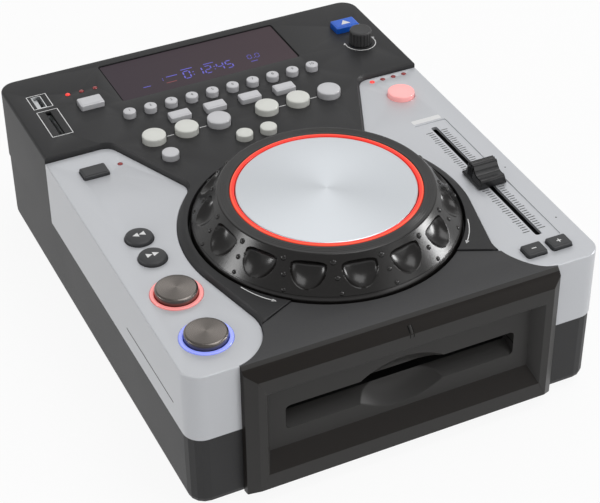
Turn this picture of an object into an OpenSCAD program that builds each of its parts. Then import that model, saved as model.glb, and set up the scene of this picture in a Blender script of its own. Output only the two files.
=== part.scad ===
// Tabletop disc player: slot drive, jog wheel, pitch fader and push buttons
// in a two-part case with side cheeks. Millimetres, +Z up, front towards -Y.

/* [Case] */
// Overall width of the case
body_w = 220.7; // [214:0.1:240]
// Depth of the case without the front bezel
body_d = 275; // [270:1:300]
// Height of the lower case below the seam
tub_h = 42.5; // [36:0.5:50]
// Height of the side cheeks above the seam
cheek_h = 38.5; // [37.5:0.5:50]
// Height of the deck above the top of the cheeks
deck_rise = 3; // [2:0.5:4]
// Radius of the upright corners of the case
corner_r = 9.5; // [6:0.5:12]
// Radius of the rounded bottom edge of the case
sole_r = 4.5; // [3:0.5:6]
// Wall thickness of the moulded case halves
wall = 2.5; // [2:0.1:3]

// Step by which the lower case stands back under the upper one
tub_step = 0.4; // [0.3:0.1:1.5]
// Height of the rubber feet below the case
feet_h = 3; // [2:0.5:6]
// Radius of the rubber feet
feet_r = 9; // [6:0.5:12]

/* [Cheeks] */
// Length of the cheeks from the front face
cheek_len = 193; // [188:1:198]
// Wall thickness of the cheeks
cheek_wall = 2.2; // [1.6:0.1:2.6]
// Fit gap between parts of the case
fit = 0.15; // [0.1:0.05:0.3]
// Distance of the cheek's controls from its outer side
cheek_line = 20.5; // [18:0.5:22]
// Half width of the deck at its neck
neck_x = 54.5; // [52:0.5:57]
// Distance of the neck from the front face
neck_y = 147; // [144:1:150]
// Half width of the deck at its shoulder
shoulder_x = 74.5; // [70:0.5:78]
// Radius of the shoulder corner
shoulder_r = 8; // [4:0.5:10]
// Radius of the neck corner
neck_r = 8; // [6:0.5:12]
// Radius of the cheek's round front lobe
lobe_r = 24; // [22:0.5:26]

/* [Deck] */
// Width of the display window
display_w = 108; // [90:1:110]
// Depth of the display window
display_d = 40.5; // [30:0.5:41]
// Drop of the display window below the deck
display_drop = 0.6; // [0.5:0.1:1.8]
// Thickness of the display window
display_t = 2; // [1.5:0.1:2.5]

/* [Jog wheel] */
// Outer radius of the jog wheel
jog_r = 68.2; // [62:0.1:70]
// Distance of the jog wheel's axis from the front face
jog_y = 82.5; // [80:0.5:86]
// Height of the jog wheel's top above the deck
jog_rise = 17.6; // [12:0.1:20]
// Gap between the jog wheel and its well
jog_gap = 1.2; // [0.8:0.1:1.6]
// Radius of the metal top plate
plate_r = 45.6; // [40:0.1:47]
// Width of the lit ring round the plate
glow_w = 2.5; // [2:0.1:3.5]
// Width of the flat ring outside the lit ring
flat_w = 6.3; // [4:0.1:6.5]
// Number of finger dimples round the jog wheel
dimple_count = 15; // [8:1:16]
// Radius of the dimples' round end
dimple_r = 11.4; // [9:0.1:13]
// Radius of the jog wheel's shaft
shaft_r = 4; // [3:0.5:5]
// Running clearance of shafts in their bores
run_gap = 0.05; // [0.03:0.01:0.08]

/* [Controls] */
// Travel of the push buttons
press = 0.8; // [0.4:0.1:0.8]
// Gap between a button and its hole
key_gap = 0.3; // [0.2:0.05:0.4]
// Radius of the ten number buttons
number_r = 3.5; // [3:0.1:4]
// Spacing of the number buttons
number_pitch = 12.2; // [11:0.1:12.4]
// Radius of the six loop buttons
loop_r = 6.5; // [5:0.1:7]
// Spacing of the loop buttons
loop_pitch = 18.8; // [17:0.1:19]
// Radius of the round deck buttons below the loop buttons
round_r = 4.6; // [4:0.1:5]
// Radius of the metal start and stop buttons
metal_r = 10.5; // [9:0.1:11]
// Radius of the search buttons
search_r = 7.2; // [6:0.1:8]
// Radius of the selector knob
knob_r = 6.5; // [5:0.1:7.5]
// Height of the selector knob
knob_h = 9; // [7:0.5:12]
// Travel of the fader each way from its centre
fader_travel = 50; // [40:1:50]
// Width of the fader's slot
fader_slot_w = 3.6; // [3:0.1:4]

/* [Front] */
// Distance that the front bezel stands proud
bezel_d = 7.2; // [6:0.1:9]
// Height of the disc slot's centre below the top of the cheeks
slot_drop = 40.5; // [39:0.5:42]
// Width of the disc slot
slot_w = 124; // [122:0.5:128]
// Height of the disc slot
slot_h = 5; // [4.6:0.1:6]
// Depth of the panel round the disc slot
recess_d = 7.2; // [4:0.1:7.2]
// Width of the finger scoop at the disc slot
scoop_w = 48; // [40:1:54]
// Height of the finger scoop at the disc slot
scoop_h = 29; // [22:1:32]

/* [Hidden] */
$fn = 64;
eps = 0.01;

// Heights
tub_taper = 0.2;
seam_z = feet_h + tub_h;
cheek_z = seam_z + cheek_h;
deck_z = cheek_z + deck_rise;
core_z = cheek_z - cheek_wall - fit;
slot_z = cheek_z - slot_drop;
jog_z = deck_z + jog_rise;
floor_z = feet_h + wall;
well_z = core_z - 1.7;
under_well_z = well_z - wall;
under_deck_z = deck_z - wall;
under_core_z = core_z - wall;
flange_t = 1;
key_base_z = under_core_z - flange_t - 0.25;
board_t = 1.6;
switch_h = 2.5;
board_z = key_base_z - press - 0.1 - switch_h;

// Plan
front = -(body_d - bezel_d) / 2;
back = front + body_d;
mid_y = (front + back) / 2;
side = body_w / 2;
cheek_x = side - cheek_line;
cheek_back = front + cheek_len;
core_g = cheek_wall + fit;
jog_c = [0, front + jog_y];
well_r = jog_r + jog_gap;
arc_r = well_r + 5.6;
bezel_x = side - 26;
bezel_top = cheek_z - 0.4;
bezel_low = floor_z - 0.3;

// The lobe touches the hollow round the jog wheel from outside, or it is smaller
lobe_out = side + 1.5;
lobe_in = jog_y - 0.5;
lobe_sum = lobe_out + lobe_in + arc_r;
lobe_max_r = lobe_sum - sqrt(lobe_sum * lobe_sum - lobe_out * lobe_out - lobe_in * lobe_in + arc_r * arc_r);
lobe_fit_r = min(lobe_r, lobe_max_r - 0.5);
lobe_c = [lobe_out - lobe_fit_r, front + jog_y - lobe_in + lobe_fit_r];

// Places of the controls
number_y = back - 62.4;
strip_y = back - 76;
loop_y = back - 90.3;
round_y = jog_c.y + 83.3;
loop_inner = 14.2;
strip_pitch = 20.8;
strip_size = [12, 7];
time_size = [13.5, 9];
eject_size = [14.5, 10];
shift_size = [14, 9.5];
bend_size = [11, 8.7];
tap_c = [-50, round_y];
reverse_c = [-7.5, round_y];
relay_c = [6.5, round_y];
time_c = [-side + 40.35, back - 42.3];
eject_c = [side - 18, back - 29.2];
knob_c = [side - 17.6, back - 48.6];
usb_c = [-side + 15.5, back - 27.3];
card_c = [-side + 16.5, back - 51.2];
led_y = back - 27;
led_pitch = 8;
lamp_r = 7.5;
search_y = front + 101;
search_pitch = 18;
bend_pitch = 14.2;
play_c = [-cheek_x, front + 61.6];
cue_c = [-cheek_x, front + 25.6];
shift_c = [-cheek_x, front + 173.7];
lamp_c = [cheek_x - 0.5, front + 170.3];
bend_c = [cheek_x - 3, front + 15.1];
fader_c = [cheek_x, front + 80.2];
tray_size = [19, 117];
tray_d = 0.5;
slot_len = 2 * fader_travel + 8;
display_c = [1, back - 26.8];
glow_ring_w = 2.1;
lamp_led_pitch = 6.65;
lens_r = 1.35;

number_c = [for (i = [0:9]) [(i - 4.5) * number_pitch, number_y]];
strip_c = [for (i = [0:3]) [(i - 1.5) * strip_pitch, strip_y]];
loop_c = concat(
  [for (i = [2:-1:0]) [-loop_inner - i * loop_pitch, loop_y]],
  [for (i = [0:2]) [loop_inner + i * loop_pitch, loop_y]]);
search_c = [for (s = [1, -1]) [-cheek_x, search_y + s * search_pitch / 2]];
bend_cs = [for (s = [-1, 1]) bend_c + [s * bend_pitch / 2, 0]];
deck_lens = [for (i = [-1:1]) [time_c.x + i * led_pitch, led_y]];
left_lens = [shift_c + [shift_size.x / 2 + 8, 2]];
right_lens = [for (i = [-1.5:1.5]) [cheek_x + 1.4 + i * lamp_led_pitch, front + 189.3]];

// Screw towers, x and y of the right one
tower_c = [[71, front + 10], [side - 12, back - 13]];
tower_r = 4.5;
screw_r = 1.5;
post_r = 3;

// Drive
drive_w = slot_w + 8;
drive_front = front + 12;
drive_len = 150;
drive_c = [0, drive_front + 74];
sheet = 1.2;
drive_low = slot_z - 14;
drive_top = slot_z + 6;
axle_r = 2;
roller_r = 4.5;
roller_c = [drive_front + 9, slot_z - slot_h / 2 - 0.2 - roller_r];
spindle_r = 1.5;
spindle_low = drive_low + sheet + 0.3 - slot_z;
platter_r = 14;

// Rear panel
panel_w = 170;
panel_h = 28;
panel_t = 1.5;
panel_c = [back - 9, floor_z + 18];
phono_r = 4.15;
phono_xs = [-70, -56, -30];
remote_x = -8;
inlet_x = 62;
inlet_size = [27, 20];
rocker_x = 28;
rocker_size = [13, 19];

socket_back = 10;
inlet_back = 16;
rocker_back = 14;

// Bezel and shelf
recess_x = bezel_x - 10;
recess_high = bezel_top - 15.3;
recess_low = bezel_low + 12.8;
recess_back = 2.2;
pan_x = recess_x - 3.6;
pan_high = recess_high - 3.6;
pan_low = recess_low + 8;
mouth_h = 14.4;
mouth_d = 8;
shelf_top = cheek_z + 2.2;

// Posts, feet and boards
drive_posts = [for (x = [-1, 1]) for (y = [14, drive_len - 14])
  [x * (drive_w / 2 - 8), drive_front + y]];
stand_x = [-side + 24, side - 24];
stand_y = [front + 30, back - 34];
board_post_c = [[side - 44.35, back - 13], [side - 44.35, back - 70], [side - 52.35, front + 157],
  [side - 32.35, front + 37], [30, jog_c.y + 87.5]];
board_posts = [for (s = [-1, 1]) for (p = board_post_c) [s * p.x, p.y]];
board_gap = 0.5;
main_z = floor_z + 6;
main_high_z = main_z + board_t;
main_y = [back - 95, back - 25];
main_box = [[4, side - 14.35], main_y];
supply_box = [[-side + 14.35, -12], main_y];
function inset_posts(b) = [for (x = [b[0][0] + 5, b[0][1] - 5])
  for (y = [b[1][0] + 5, b[1][1] - 5]) [x, y]];
main_posts = inset_posts(main_box);
supply_posts = inset_posts(supply_box);
media_x = [card_c.x - 6.5, card_c.x + 6.5];
media_y = [card_c.y - 15.5, usb_c.y + 8.5];

// Jog wheel and keys
bush_r = shaft_r + 3;
flat_r = plate_r + glow_w + flat_w;
flat_z = jog_z - 1.6;
seat_z = flat_z - 2;
hub_r = shaft_r + 4;
flank = [[jog_r - 0.6, deck_z + 1], [flat_r + 1.5, flat_z - 0.4]];
flank_a = atan2(flank[1].y - flank[0].y, flank[0].x - flank[1].x);
dimple_first = 259.4;
flange_w = 0.9;
deck_under = under_deck_z - 0.1;
cheek_under = under_core_z - 0.1;

black = [0.13, 0.13, 0.135];
silver = [0.76, 0.77, 0.78];
grey = [0.8, 0.8, 0.82];
white = [0.93, 0.93, 0.9];
steel = [0.6, 0.61, 0.62];
green = [0.1, 0.35, 0.2];

// ---- curves and solids that several pieces share ----

// Points of an arc about c, from angle a0 to a1 in n steps
function arc(c, r, a0, a1, n) =
  [for (i = [0:n]) let (a = a0 + (a1 - a0) * i / n) c + r * [cos(a), sin(a)]];

// The mirror image of a run of points, in reverse order
function mirrored(p) = [for (i = [len(p) - 1:-1:0]) [-p[i].x, p[i].y]];

// A rectangle with round corners, centred on the origin
function round_rect(s, r, n = 4) = concat(
  arc([s.x / 2 - r, -s.y / 2 + r], r, -90, 0, n), arc([s.x / 2 - r, s.y / 2 - r], r, 0, 90, n),
  arc([-s.x / 2 + r, s.y / 2 - r], r, 90, 180, n), arc([-s.x / 2 + r, -s.y / 2 + r], r, 180, 270, n));

function at(ring, z) = [for (p = ring) [p.x, p.y, z]];

// A solid through a stack of rings with equal counts of points, from low to high
module loft(rings) {
  n = len(rings[0]);
  m = len(rings);
  polyhedron(
    points = [for (r = rings) for (p = r) p],
    faces = concat(
      [[for (i = [0:n - 1]) i]],
      [[for (i = [n - 1:-1:0]) (m - 1) * n + i]],
      [for (k = [0:m - 2]) for (i = [0:n - 1]) let (j = (i + 1) % n)
        [k * n + i, (k + 1) * n + i, (k + 1) * n + j, k * n + j]]));
}

// A straight prism on a ring of points
module prism(ring, z0, z1) {
  translate([0, 0, z0]) linear_extrude(z1 - z0) polygon(ring);
}

module disc(c, r, z0, z1) {
  translate([c.x, c.y, z0]) cylinder(h = z1 - z0, r = r);
}

module block(x, y, z) {
  translate([x[0], y[0], z[0]]) cube([x[1] - x[0], y[1] - y[0], z[1] - z[0]]);
}

// The case in plan, moved inwards by g from its top outline
function case_ring(g) = [for (p = round_rect([2 * (side - g), body_d - 2 * g], corner_r - g))
  p + [0, mid_y]];

// The edge between deck and cheek: an arc round the shoulder, a slope, an arc
// round the neck, the hollow round the jog wheel, and the lobe.
// d moves it into the deck.
slope_u = let (v = [shoulder_x - neck_x, cheek_len - neck_y]) v / norm(v);
slope_n = [slope_u.y, -slope_u.x];
slope_a = atan2(slope_u.x, -slope_u.y);
neck_p = [neck_x, front + neck_y];
shoulder_c = let (q = neck_p + shoulder_r * slope_n)
  q + slope_u * (cheek_back - shoulder_r - q.y) / slope_u.y;
neck_q = neck_p + neck_r * slope_n - jog_c;
neck_c = let (b = neck_q * slope_u)
  jog_c + neck_q + slope_u * (sqrt(b * b - neck_q * neck_q + pow(arc_r + neck_r, 2)) - b);
neck_a = atan2(neck_c.y - jog_c.y, neck_c.x - jog_c.x);
lobe_v = lobe_c - jog_c;
lobe_a = atan2(lobe_v.y, lobe_v.x) + acos((arc_r + lobe_fit_r) / norm(lobe_v));
lobe_end = 180 + acos((lobe_c.x - bezel_x) / lobe_fit_r);
seam_a = 190;
seam_b = -50.6;

function edge_arc(d) = concat(
  arc(shoulder_c, shoulder_r + d, 90, slope_a, 5),
  arc(neck_c, neck_r + d, slope_a, neck_a + 180, 5),
  [for (i = [1:16]) let (a = neck_a + (lobe_a - neck_a) * i / 16)
    jog_c + (arc_r - d) * [cos(a), sin(a)]]);

// The right cheek in plan
function cheek_ring() = concat(
  [[bezel_x, front]],
  arc([side - corner_r, front + corner_r], corner_r, -90, 0, 8),
  [[side, cheek_back]],
  edge_arc(0),
  arc(lobe_c, lobe_fit_r, lobe_a + 180, lobe_end, 10));

// The seam between deck and shelf, from the lobe to the jog wheel's well, and
// where its line, moved into the deck by s, meets a circle of radius r
seam_out = lobe_c + lobe_fit_r * [cos(seam_a), sin(seam_a)];
seam_in = jog_c + (well_r - 2) * [cos(seam_b), sin(seam_b)];
seam_u = (seam_in - seam_out) / norm(seam_in - seam_out);
seam_n = [seam_u.y, -seam_u.x];
function seam_end(r, s) = let (v = seam_out + s * seam_n - lobe_c, b = v * seam_u,
  q = v + seam_u * (sqrt(b * b - v * v + r * r) - b)) atan2(-q.y, -q.x) + 180;

// The deck in plan, with its cheek edges and its seam moved inwards by d and
// its outer sides by g
function deck_right(g, d) = concat(
  [[side - g, cheek_back + d + 0.1]],
  edge_arc(d),
  arc(lobe_c, lobe_fit_r + d, lobe_a + 180, seam_end(lobe_fit_r + d, d), 4),
  [seam_in + d * seam_n]);
function deck_ring(g, d) = let (left = [for (p = deck_right(g, d)) [-p.x, p.y]]) concat(
  left,
  mirrored(left),
  arc([side - corner_r, back - corner_r], corner_r - g, 0, 90, 5),
  arc([-side + corner_r, back - corner_r], corner_r - g, 90, 180, 5));

// A round button: cap with a dome, flange under the wall and a stem
module round_key(c, r, top, under, dome = 0.6, edge = 0.6) {
  translate([c.x, c.y, 0]) rotate_extrude() polygon(concat(
    [[0, key_base_z], [2, key_base_z], [2, under - flange_t], [r + flange_w, under - flange_t],
      [r + flange_w, under], [r, under]],
    arc([r - edge, top - dome - edge], edge, 0, 80, 4),
    [[r * 0.5, top - dome * 0.25], [0, top]]));
}

// A rectangular button, built in the same way
module box_key(c, s, top, under, r = 1) {
  translate([c.x, c.y, 0]) {
    disc([0, 0], 2, key_base_z, under - flange_t + eps);
    prism(round_rect(s + 2 * flange_w * [1, 1], r + flange_w), under - flange_t, under);
    loft([at(round_rect(s, r), under - eps), at(round_rect(s, r), top - 0.7),
      at(round_rect([s.x - 0.4, s.y - 0.4], r), top - 0.2),
      at(round_rect([s.x - 1.4, s.y - 1.4], r), top)]);
  }
}

module round_hole(c, r) {
  disc(c, r + key_gap, board_z, jog_z);
}

module box_hole(c, s) {
  translate([c.x, c.y, 0])
    prism(round_rect([s.x + 2 * key_gap, s.y + 2 * key_gap], 1 + key_gap), board_z, jog_z);
}

module deck_holes() {
  for (c = number_c) round_hole(c, number_r);
  for (c = strip_c) box_hole(c, strip_size);
  for (c = loop_c) round_hole(c, loop_r);
  for (c = [tap_c, reverse_c, relay_c]) round_hole(c, round_r);
  box_hole(time_c, time_size);
  box_hole(eject_c, eject_size);
  for (c = deck_lens) disc(c, lens_r + fit, board_z, jog_z);
  disc(knob_c, knob_r - 1, board_z, jog_z);
  block([usb_c.x - 3, usb_c.x + 3], [usb_c.y - 6.5, usb_c.y + 6.5], [board_z, jog_z]);
  block([card_c.x - 1.5, card_c.x + 1.5], [card_c.y - 12.3, card_c.y + 12.3], [board_z, jog_z]);
}

module left_holes() {
  for (c = search_c) round_hole(c, search_r);
  for (c = [play_c, cue_c]) round_hole(c, metal_r);
  box_hole(shift_c, shift_size);
  for (c = left_lens) disc(c, lens_r + fit, board_z, jog_z);
}

module right_holes() {
  round_hole(lamp_c, lamp_r);
  for (c = bend_cs) box_hole(c, bend_size);
  for (c = right_lens) disc(c, lens_r + fit, board_z, jog_z);
  translate(fader_c) prism(round_rect([fader_slot_w, slot_len], 1.2), board_z, jog_z);
}

// ---- case ----

// The opening behind the bezel's panel in the front walls of both case halves
module front_window() {
  block([-recess_x - 1, recess_x + 1], [front - 1, front + wall + core_g + 2],
    [recess_low - 1, recess_high + 1]);
}

module panel_recess(g) {
  block([-panel_w / 2 - g, panel_w / 2 + g], [panel_c.x - g, back + 1],
    [panel_c.y - panel_h / 2 - g, panel_c.y + panel_h / 2 + g]);
}

module towers(r, z0, z1) {
  for (c = tower_c) for (s = [-1, 1]) disc([s * c.x, c.y], r, z0, z1);
}

module lower_case() {
  color(black) difference() {
    union() {
      difference() {
        loft([for (i = [0:3]) let (a = 90 * i / 3)
            at(case_ring(tub_step + tub_taper + sole_r * (1 - sin(a))), feet_h + sole_r * (1 - cos(a))),
          at(case_ring(tub_step), seam_z - fit)]);
        loft([at(case_ring(tub_step + tub_taper + wall), floor_z), at(case_ring(tub_step + wall), seam_z + eps)]);
      }
      intersection() {
        panel_recess(wall);
        block([-side + wall, side - wall], [panel_c.x - wall, back - wall], [floor_z - eps, seam_z - 1]);
      }
      towers(tower_r, floor_z - eps, seam_z - fit);
      for (c = drive_posts) disc(c, post_r, floor_z - eps, drive_low);
      for (c = main_posts) disc(c, post_r, floor_z - eps, main_z);
      for (c = supply_posts) disc(c, post_r, floor_z - eps, main_z);
    }
    panel_recess(0);
    block([-panel_w / 2 + 4, panel_w / 2 - 4], [panel_c.x - wall - 1, back],
      [panel_c.y - panel_h / 2 + 2, panel_c.y + panel_h / 2 - 2]);
    front_window();
    towers(screw_r + 0.2, feet_h - 1, seam_z);
    towers(screw_r + 1.6, feet_h - 1, seam_z - 12);
    for (x = stand_x) for (y = stand_y) disc([x, y], feet_r + fit, feet_h - 1, feet_h + 1);
  }
}
module upper_case() {
  color(black) difference() {
    union() {
      prism(deck_ring(0, fit), seam_z, deck_z);
      prism(case_ring(core_g), seam_z, core_z);
    }
    difference() {
      union() {
        prism(case_ring(core_g + wall), seam_z - 3, under_core_z);
        prism(deck_ring(wall, wall), seam_z + wall, under_deck_z);
      }
      disc(jog_c, well_r + wall, under_well_z, jog_z);
      towers(tower_r, seam_z - 1, jog_z);
      for (c = board_posts) disc(c, post_r, board_z, jog_z);
    }
    disc(jog_c, well_r, well_z, jog_z);
    disc(jog_c, bush_r, under_well_z - 1, jog_z);
    front_window();
    translate(display_c) {
      prism(round_rect([display_w, display_d], 1.5), board_z, jog_z);
      prism(round_rect([display_w + 4, display_d + 4], 1.5), under_deck_z - eps, deck_z - display_drop);
    }
    deck_holes();
    left_holes();
    right_holes();
    for (c = bend_cs) translate(c)
      prism(round_rect(bend_size + 2 * (flange_w + key_gap) * [1, 1], 2), board_z, under_core_z);
    towers(screw_r - 0.2, seam_z - 1, seam_z + 12);
  }
}
// A cheek with its inner side cut to the core of the upper case
module cheek() {
  difference() {
    prism(cheek_ring(), seam_z + fit, cheek_z);
    prism(case_ring(core_g - fit), seam_z - 1, core_z + fit);
    block([0, bezel_x + fit], [front - 2, front + core_g + 2], [seam_z - 1, core_z + fit]);
  }
}

module left_cheek() {
  color(silver) difference() {
    mirror([1, 0, 0]) cheek();
    left_holes();
    for (c = [play_c, cue_c]) disc(c, metal_r + key_gap + glow_ring_w + fit, core_z, jog_z);
  }
}

module right_cheek() {
  color(silver) difference() {
    cheek();
    right_holes();
    translate(fader_c) prism(round_rect(tray_size, 1), cheek_z - tray_d, jog_z);
  }
}

// ---- front ----

function front_rect(x, z0, z1, y) = [[-x, y, z0], [x, y, z0], [x, y, z1], [-x, y, z1]];

module front_bezel() {
  color(black) difference() {
    union() {
      loft([front_rect(bezel_x, bezel_low, bezel_top, front - fit),
        front_rect(bezel_x - 0.2, bezel_low + 0.3, bezel_top - 3, front - bezel_d / 2),
        front_rect(bezel_x - 5.5, bezel_low + 3.3, bezel_top - 6.6, front - bezel_d)]);
      block([-recess_x, recess_x], [front - 1, front + recess_back], [recess_low, recess_high]);
      block([-slot_w / 2 - 2, slot_w / 2 + 2], [front, front + mouth_d],
        [slot_z - mouth_h / 2 - 2, slot_z + mouth_h / 2 + 2]);
      block([-scoop_w / 2 - 2, scoop_w / 2 + 2], [front, front + mouth_d - 1],
        [slot_z - scoop_h / 2 - 2, slot_z + scoop_h / 2 + 2]);
      intersection() {
        rotate([90, 0, 90]) translate([0, 0, -side]) linear_extrude(2 * side) polygon([
          [front - 0.4, core_z + fit], [front + 40, core_z + fit], [front + 40, shelf_top],
          [front + 14, shelf_top], [front + 10, shelf_top - 0.15], [front + 5, shelf_top - 1.1],
          [front + 0.6, bezel_top], [front - 0.4, bezel_top]]);
        prism(shelf_ring, core_z, jog_z);
      }
    }
    disc(jog_c, well_r, core_z - 1, jog_z);
    loft([front_rect(pan_x, pan_low, pan_high, front - bezel_d + recess_d),
      front_rect(recess_x, recess_low, recess_high, front - bezel_d),
      front_rect(recess_x + 1, recess_low - 1, recess_high + 1, front - bezel_d - 1)]);
    loft([front_rect(slot_w / 2, slot_z - slot_h / 2, slot_z + slot_h / 2, front + mouth_d + eps),
      front_rect(slot_w / 2, slot_z - mouth_h / 2, slot_z + mouth_h / 2, front - bezel_d + recess_d - eps)]);
    block([-slot_w / 2, slot_w / 2], [front - bezel_d, front - bezel_d + recess_d],
      [slot_z - mouth_h / 2, slot_z + mouth_h / 2]);
    scoop();
  }
}
shelf_right = concat(
  [[bezel_x, front - 1]],
  arc(lobe_c, lobe_fit_r + fit, lobe_end, seam_end(lobe_fit_r + fit, -fit), 8),
  [seam_in - fit * seam_n]);
shelf_ring = concat(shelf_right, mirrored(shelf_right));

// The lens-shaped finger scoop, narrowing inwards
module scoop() {
  y = front - bezel_d + recess_d;
  tilt = atan((scoop_h - slot_h) / 2 / mouth_d);
  q = scoop_h / 2 * cos(tilt);
  r = (pow(scoop_w / 2, 2) + q * q) / (2 * q);
  intersection() {
    block([-scoop_w, scoop_w], [y - eps, front + mouth_d + 1], [slot_z - scoop_h, slot_z + scoop_h]);
    translate([0, y, slot_z + scoop_h / 2 - r / cos(tilt)])
      rotate([90 - tilt, 0, 0]) cylinder(h = 6 * scoop_w, r = r, center = true);
    translate([0, y, slot_z - scoop_h / 2 + r / cos(tilt)])
      rotate([tilt - 90, 0, 0]) cylinder(h = 6 * scoop_w, r = r, center = true);
  }
}

module display_window() {
  color([0.2, 0.15, 0.2]) translate(display_c)
    prism(round_rect([display_w + 4 - 2 * fit, display_d + 4 - 2 * fit], 1.5),
      deck_z - display_drop - display_t, deck_z - display_drop - 0.02);
}

// ---- inside ----

module control_board() {
  color(green) difference() {
    union() {
      prism(case_ring(core_g + wall + 1.5), board_z - board_t, board_z);
      for (c = concat(number_c, strip_c, loop_c, search_c, bend_cs,
        [tap_c, reverse_c, relay_c, time_c, eject_c, play_c, cue_c, shift_c, lamp_c]))
        block([c.x - 3, c.x + 3], [c.y - 3, c.y + 3], [board_z - eps, board_z + switch_h]);
      block([display_c.x - display_w / 2, display_c.x + display_w / 2],
        [display_c.y - 16, display_c.y + 18],
        [board_z - eps, deck_z - display_drop - display_t]);
      block([knob_c.x - 6, knob_c.x + 6], [knob_c.y - 6, knob_c.y + 6], [board_z - eps, board_z + 6]);
    }
    disc(knob_c, 3 + run_gap, board_z - 3, deck_z);
    disc(jog_c, 26, board_z - 3, deck_z);
    for (c = tower_c) for (s = [-1, 1])
      disc([s * c.x, c.y], tower_r + 1, board_z - 3, deck_z);
    translate(fader_c) prism(round_rect([17, slot_len + 7], 1), board_z - 3, deck_z);
    block(media_x + board_gap * [-1, 1], media_y + board_gap * [-1, 1], [board_z - 3, deck_z]);
  }
}

// A chip or block on a lower board, from its distances to the board's corner
module mounted(box, x, y, h) {
  translate([box[0][0], box[1][0], main_high_z - eps]) block(x, y, [0, h + eps]);
}

module main_board() {
  color(green) {
    block(main_box[0], main_box[1], [main_z, main_high_z]);
    mounted(main_box, [26, 54], [25, 53], 2.4);
    mounted(main_box, [66, 84], [20, 32], 2.4);
  }
}

module power_supply() {
  color([0.75, 0.65, 0.3]) {
    block(supply_box[0], supply_box[1], [main_z, main_high_z]);
    mounted(supply_box, [36, 64], [20, 48], 20.4);
    disc([supply_box[0][0] + 16, main_y[0] + 30], 9, main_high_z - eps, main_high_z + 24.4);
  }
}

module rear_panel() {
  color(steel) difference() {
    block([-panel_w / 2 + fit, panel_w / 2 - fit], [panel_c.x + 0.05, panel_c.x + panel_t],
      [panel_c.y - panel_h / 2 + fit, panel_c.y + panel_h / 2 - fit]);
    rear_holes(fit);
  }
}
module rear_holes(g) {
  for (x = concat(phono_xs, [remote_x]))
    translate([x, panel_c.x - 1, panel_c.y]) rotate([-90, 0, 0]) cylinder(h = 9, r = phono_r + g);
  block([inlet_x - inlet_size.x / 2 - g, inlet_x + inlet_size.x / 2 + g], [panel_c.x - 1, back],
    [panel_c.y - inlet_size.y / 2 - g, panel_c.y + inlet_size.y / 2 + g]);
  block([rocker_x - rocker_size.x / 2 - g, rocker_x + rocker_size.x / 2 + g], [panel_c.x - 1, back],
    [panel_c.y - rocker_size.y / 2 - g, panel_c.y + rocker_size.y / 2 + g]);
}

module rear_sockets() {
  color([0.1, 0.1, 0.1]) {
    for (x = phono_xs) translate([x, 0, panel_c.y]) {
      rotate([-90, 0, 0]) translate([0, 0, panel_c.x - socket_back]) difference() {
        cylinder(h = 18, r = phono_r);
        translate([0, 0, 10]) cylinder(h = 9, r = 1.6);
      }
      block([-6, 6], [panel_c.x - socket_back, panel_c.x - fit], [-7, 7]);
    }
    translate([remote_x, 0, panel_c.y]) difference() {
      union() {
        block([-6, 6], [panel_c.x - socket_back, panel_c.x - fit], [-6, 6]);
        rotate([-90, 0, 0]) translate([0, 0, panel_c.x - socket_back]) cylinder(h = 13, r = phono_r);
      }
      rotate([-90, 0, 0]) translate([0, 0, panel_c.x - 5]) cylinder(h = 13, r = 1.8);
    }
    translate([inlet_x, 0, panel_c.y]) difference() {
      union() {
        block([-inlet_size.x / 2, inlet_size.x / 2], [panel_c.x - inlet_back, panel_c.x + panel_t + 1],
          [-inlet_size.y / 2, inlet_size.y / 2]);
        block([-inlet_size.x / 2 - 2, inlet_size.x / 2 + 2],
          [panel_c.x + panel_t + 0.05, panel_c.x + panel_t + 2],
          [-inlet_size.y / 2 - 2, inlet_size.y / 2 + 2]);
      }
      block([-10, 10], [panel_c.x - 12, back], [-6.5, 6.5]);
    }
    translate([rocker_x, 0, panel_c.y]) difference() {
      union() {
        block([-rocker_size.x / 2, rocker_size.x / 2], [panel_c.x - rocker_back, panel_c.x + panel_t + 1],
          [-rocker_size.y / 2, rocker_size.y / 2]);
        block([-rocker_size.x / 2 - 1.5, rocker_size.x / 2 + 1.5],
          [panel_c.x + panel_t + 0.05, panel_c.x + panel_t + 1.5],
          [-rocker_size.y / 2 - 1.5, rocker_size.y / 2 + 1.5]);
      }
      block([-4.5, 4.5], [panel_c.x - 12, back], [-7.5, 7.5]);
      translate([-5.5, panel_c.x - 1, 0]) rotate([0, 90, 0]) cylinder(h = 11, r = 1 + run_gap);
    }
  }
}

module power_rocker() {
  color([0.15, 0.15, 0.15]) translate([rocker_x, panel_c.x - 1, panel_c.y]) {
    rotate([0, 90, 0]) translate([0, 0, -4.2]) linear_extrude(8.4)
      polygon([[-6.4, 3.6], [0, 4.2], [6.4, 2.6], [6.4, 1], [2, -4], [-2, -4], [-6.4, 2]]);
    rotate([0, 90, 0]) translate([0, 0, -5.3]) cylinder(h = 10.6, r = 1);
  }
}

module media_sockets() {
  color(steel) {
    difference() {
      block([usb_c.x - 2.8, usb_c.x + 2.8], [usb_c.y - 6.3, usb_c.y + 6.3], [board_z - 6, deck_z - 0.3]);
      block([usb_c.x - 2.2, usb_c.x + 2.2], [usb_c.y - 5.7, usb_c.y + 5.7], [board_z - 4, deck_z]);
    }
    block([usb_c.x - 1.6, usb_c.x + 0.2], [usb_c.y - 5, usb_c.y + 5], [board_z - 4.5, deck_z - 2]);
    difference() {
      block([card_c.x - 3, card_c.x + 3], [card_c.y - 14, card_c.y + 14], [board_z - 12, under_deck_z - 0.1]);
      block([card_c.x - 1.2, card_c.x + 1.2], [card_c.y - 12, card_c.y + 12], [board_z - 10, deck_z]);
    }
    block(media_x, media_y, [board_z - 1.5, board_z - 0.3]);
  }
}

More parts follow.
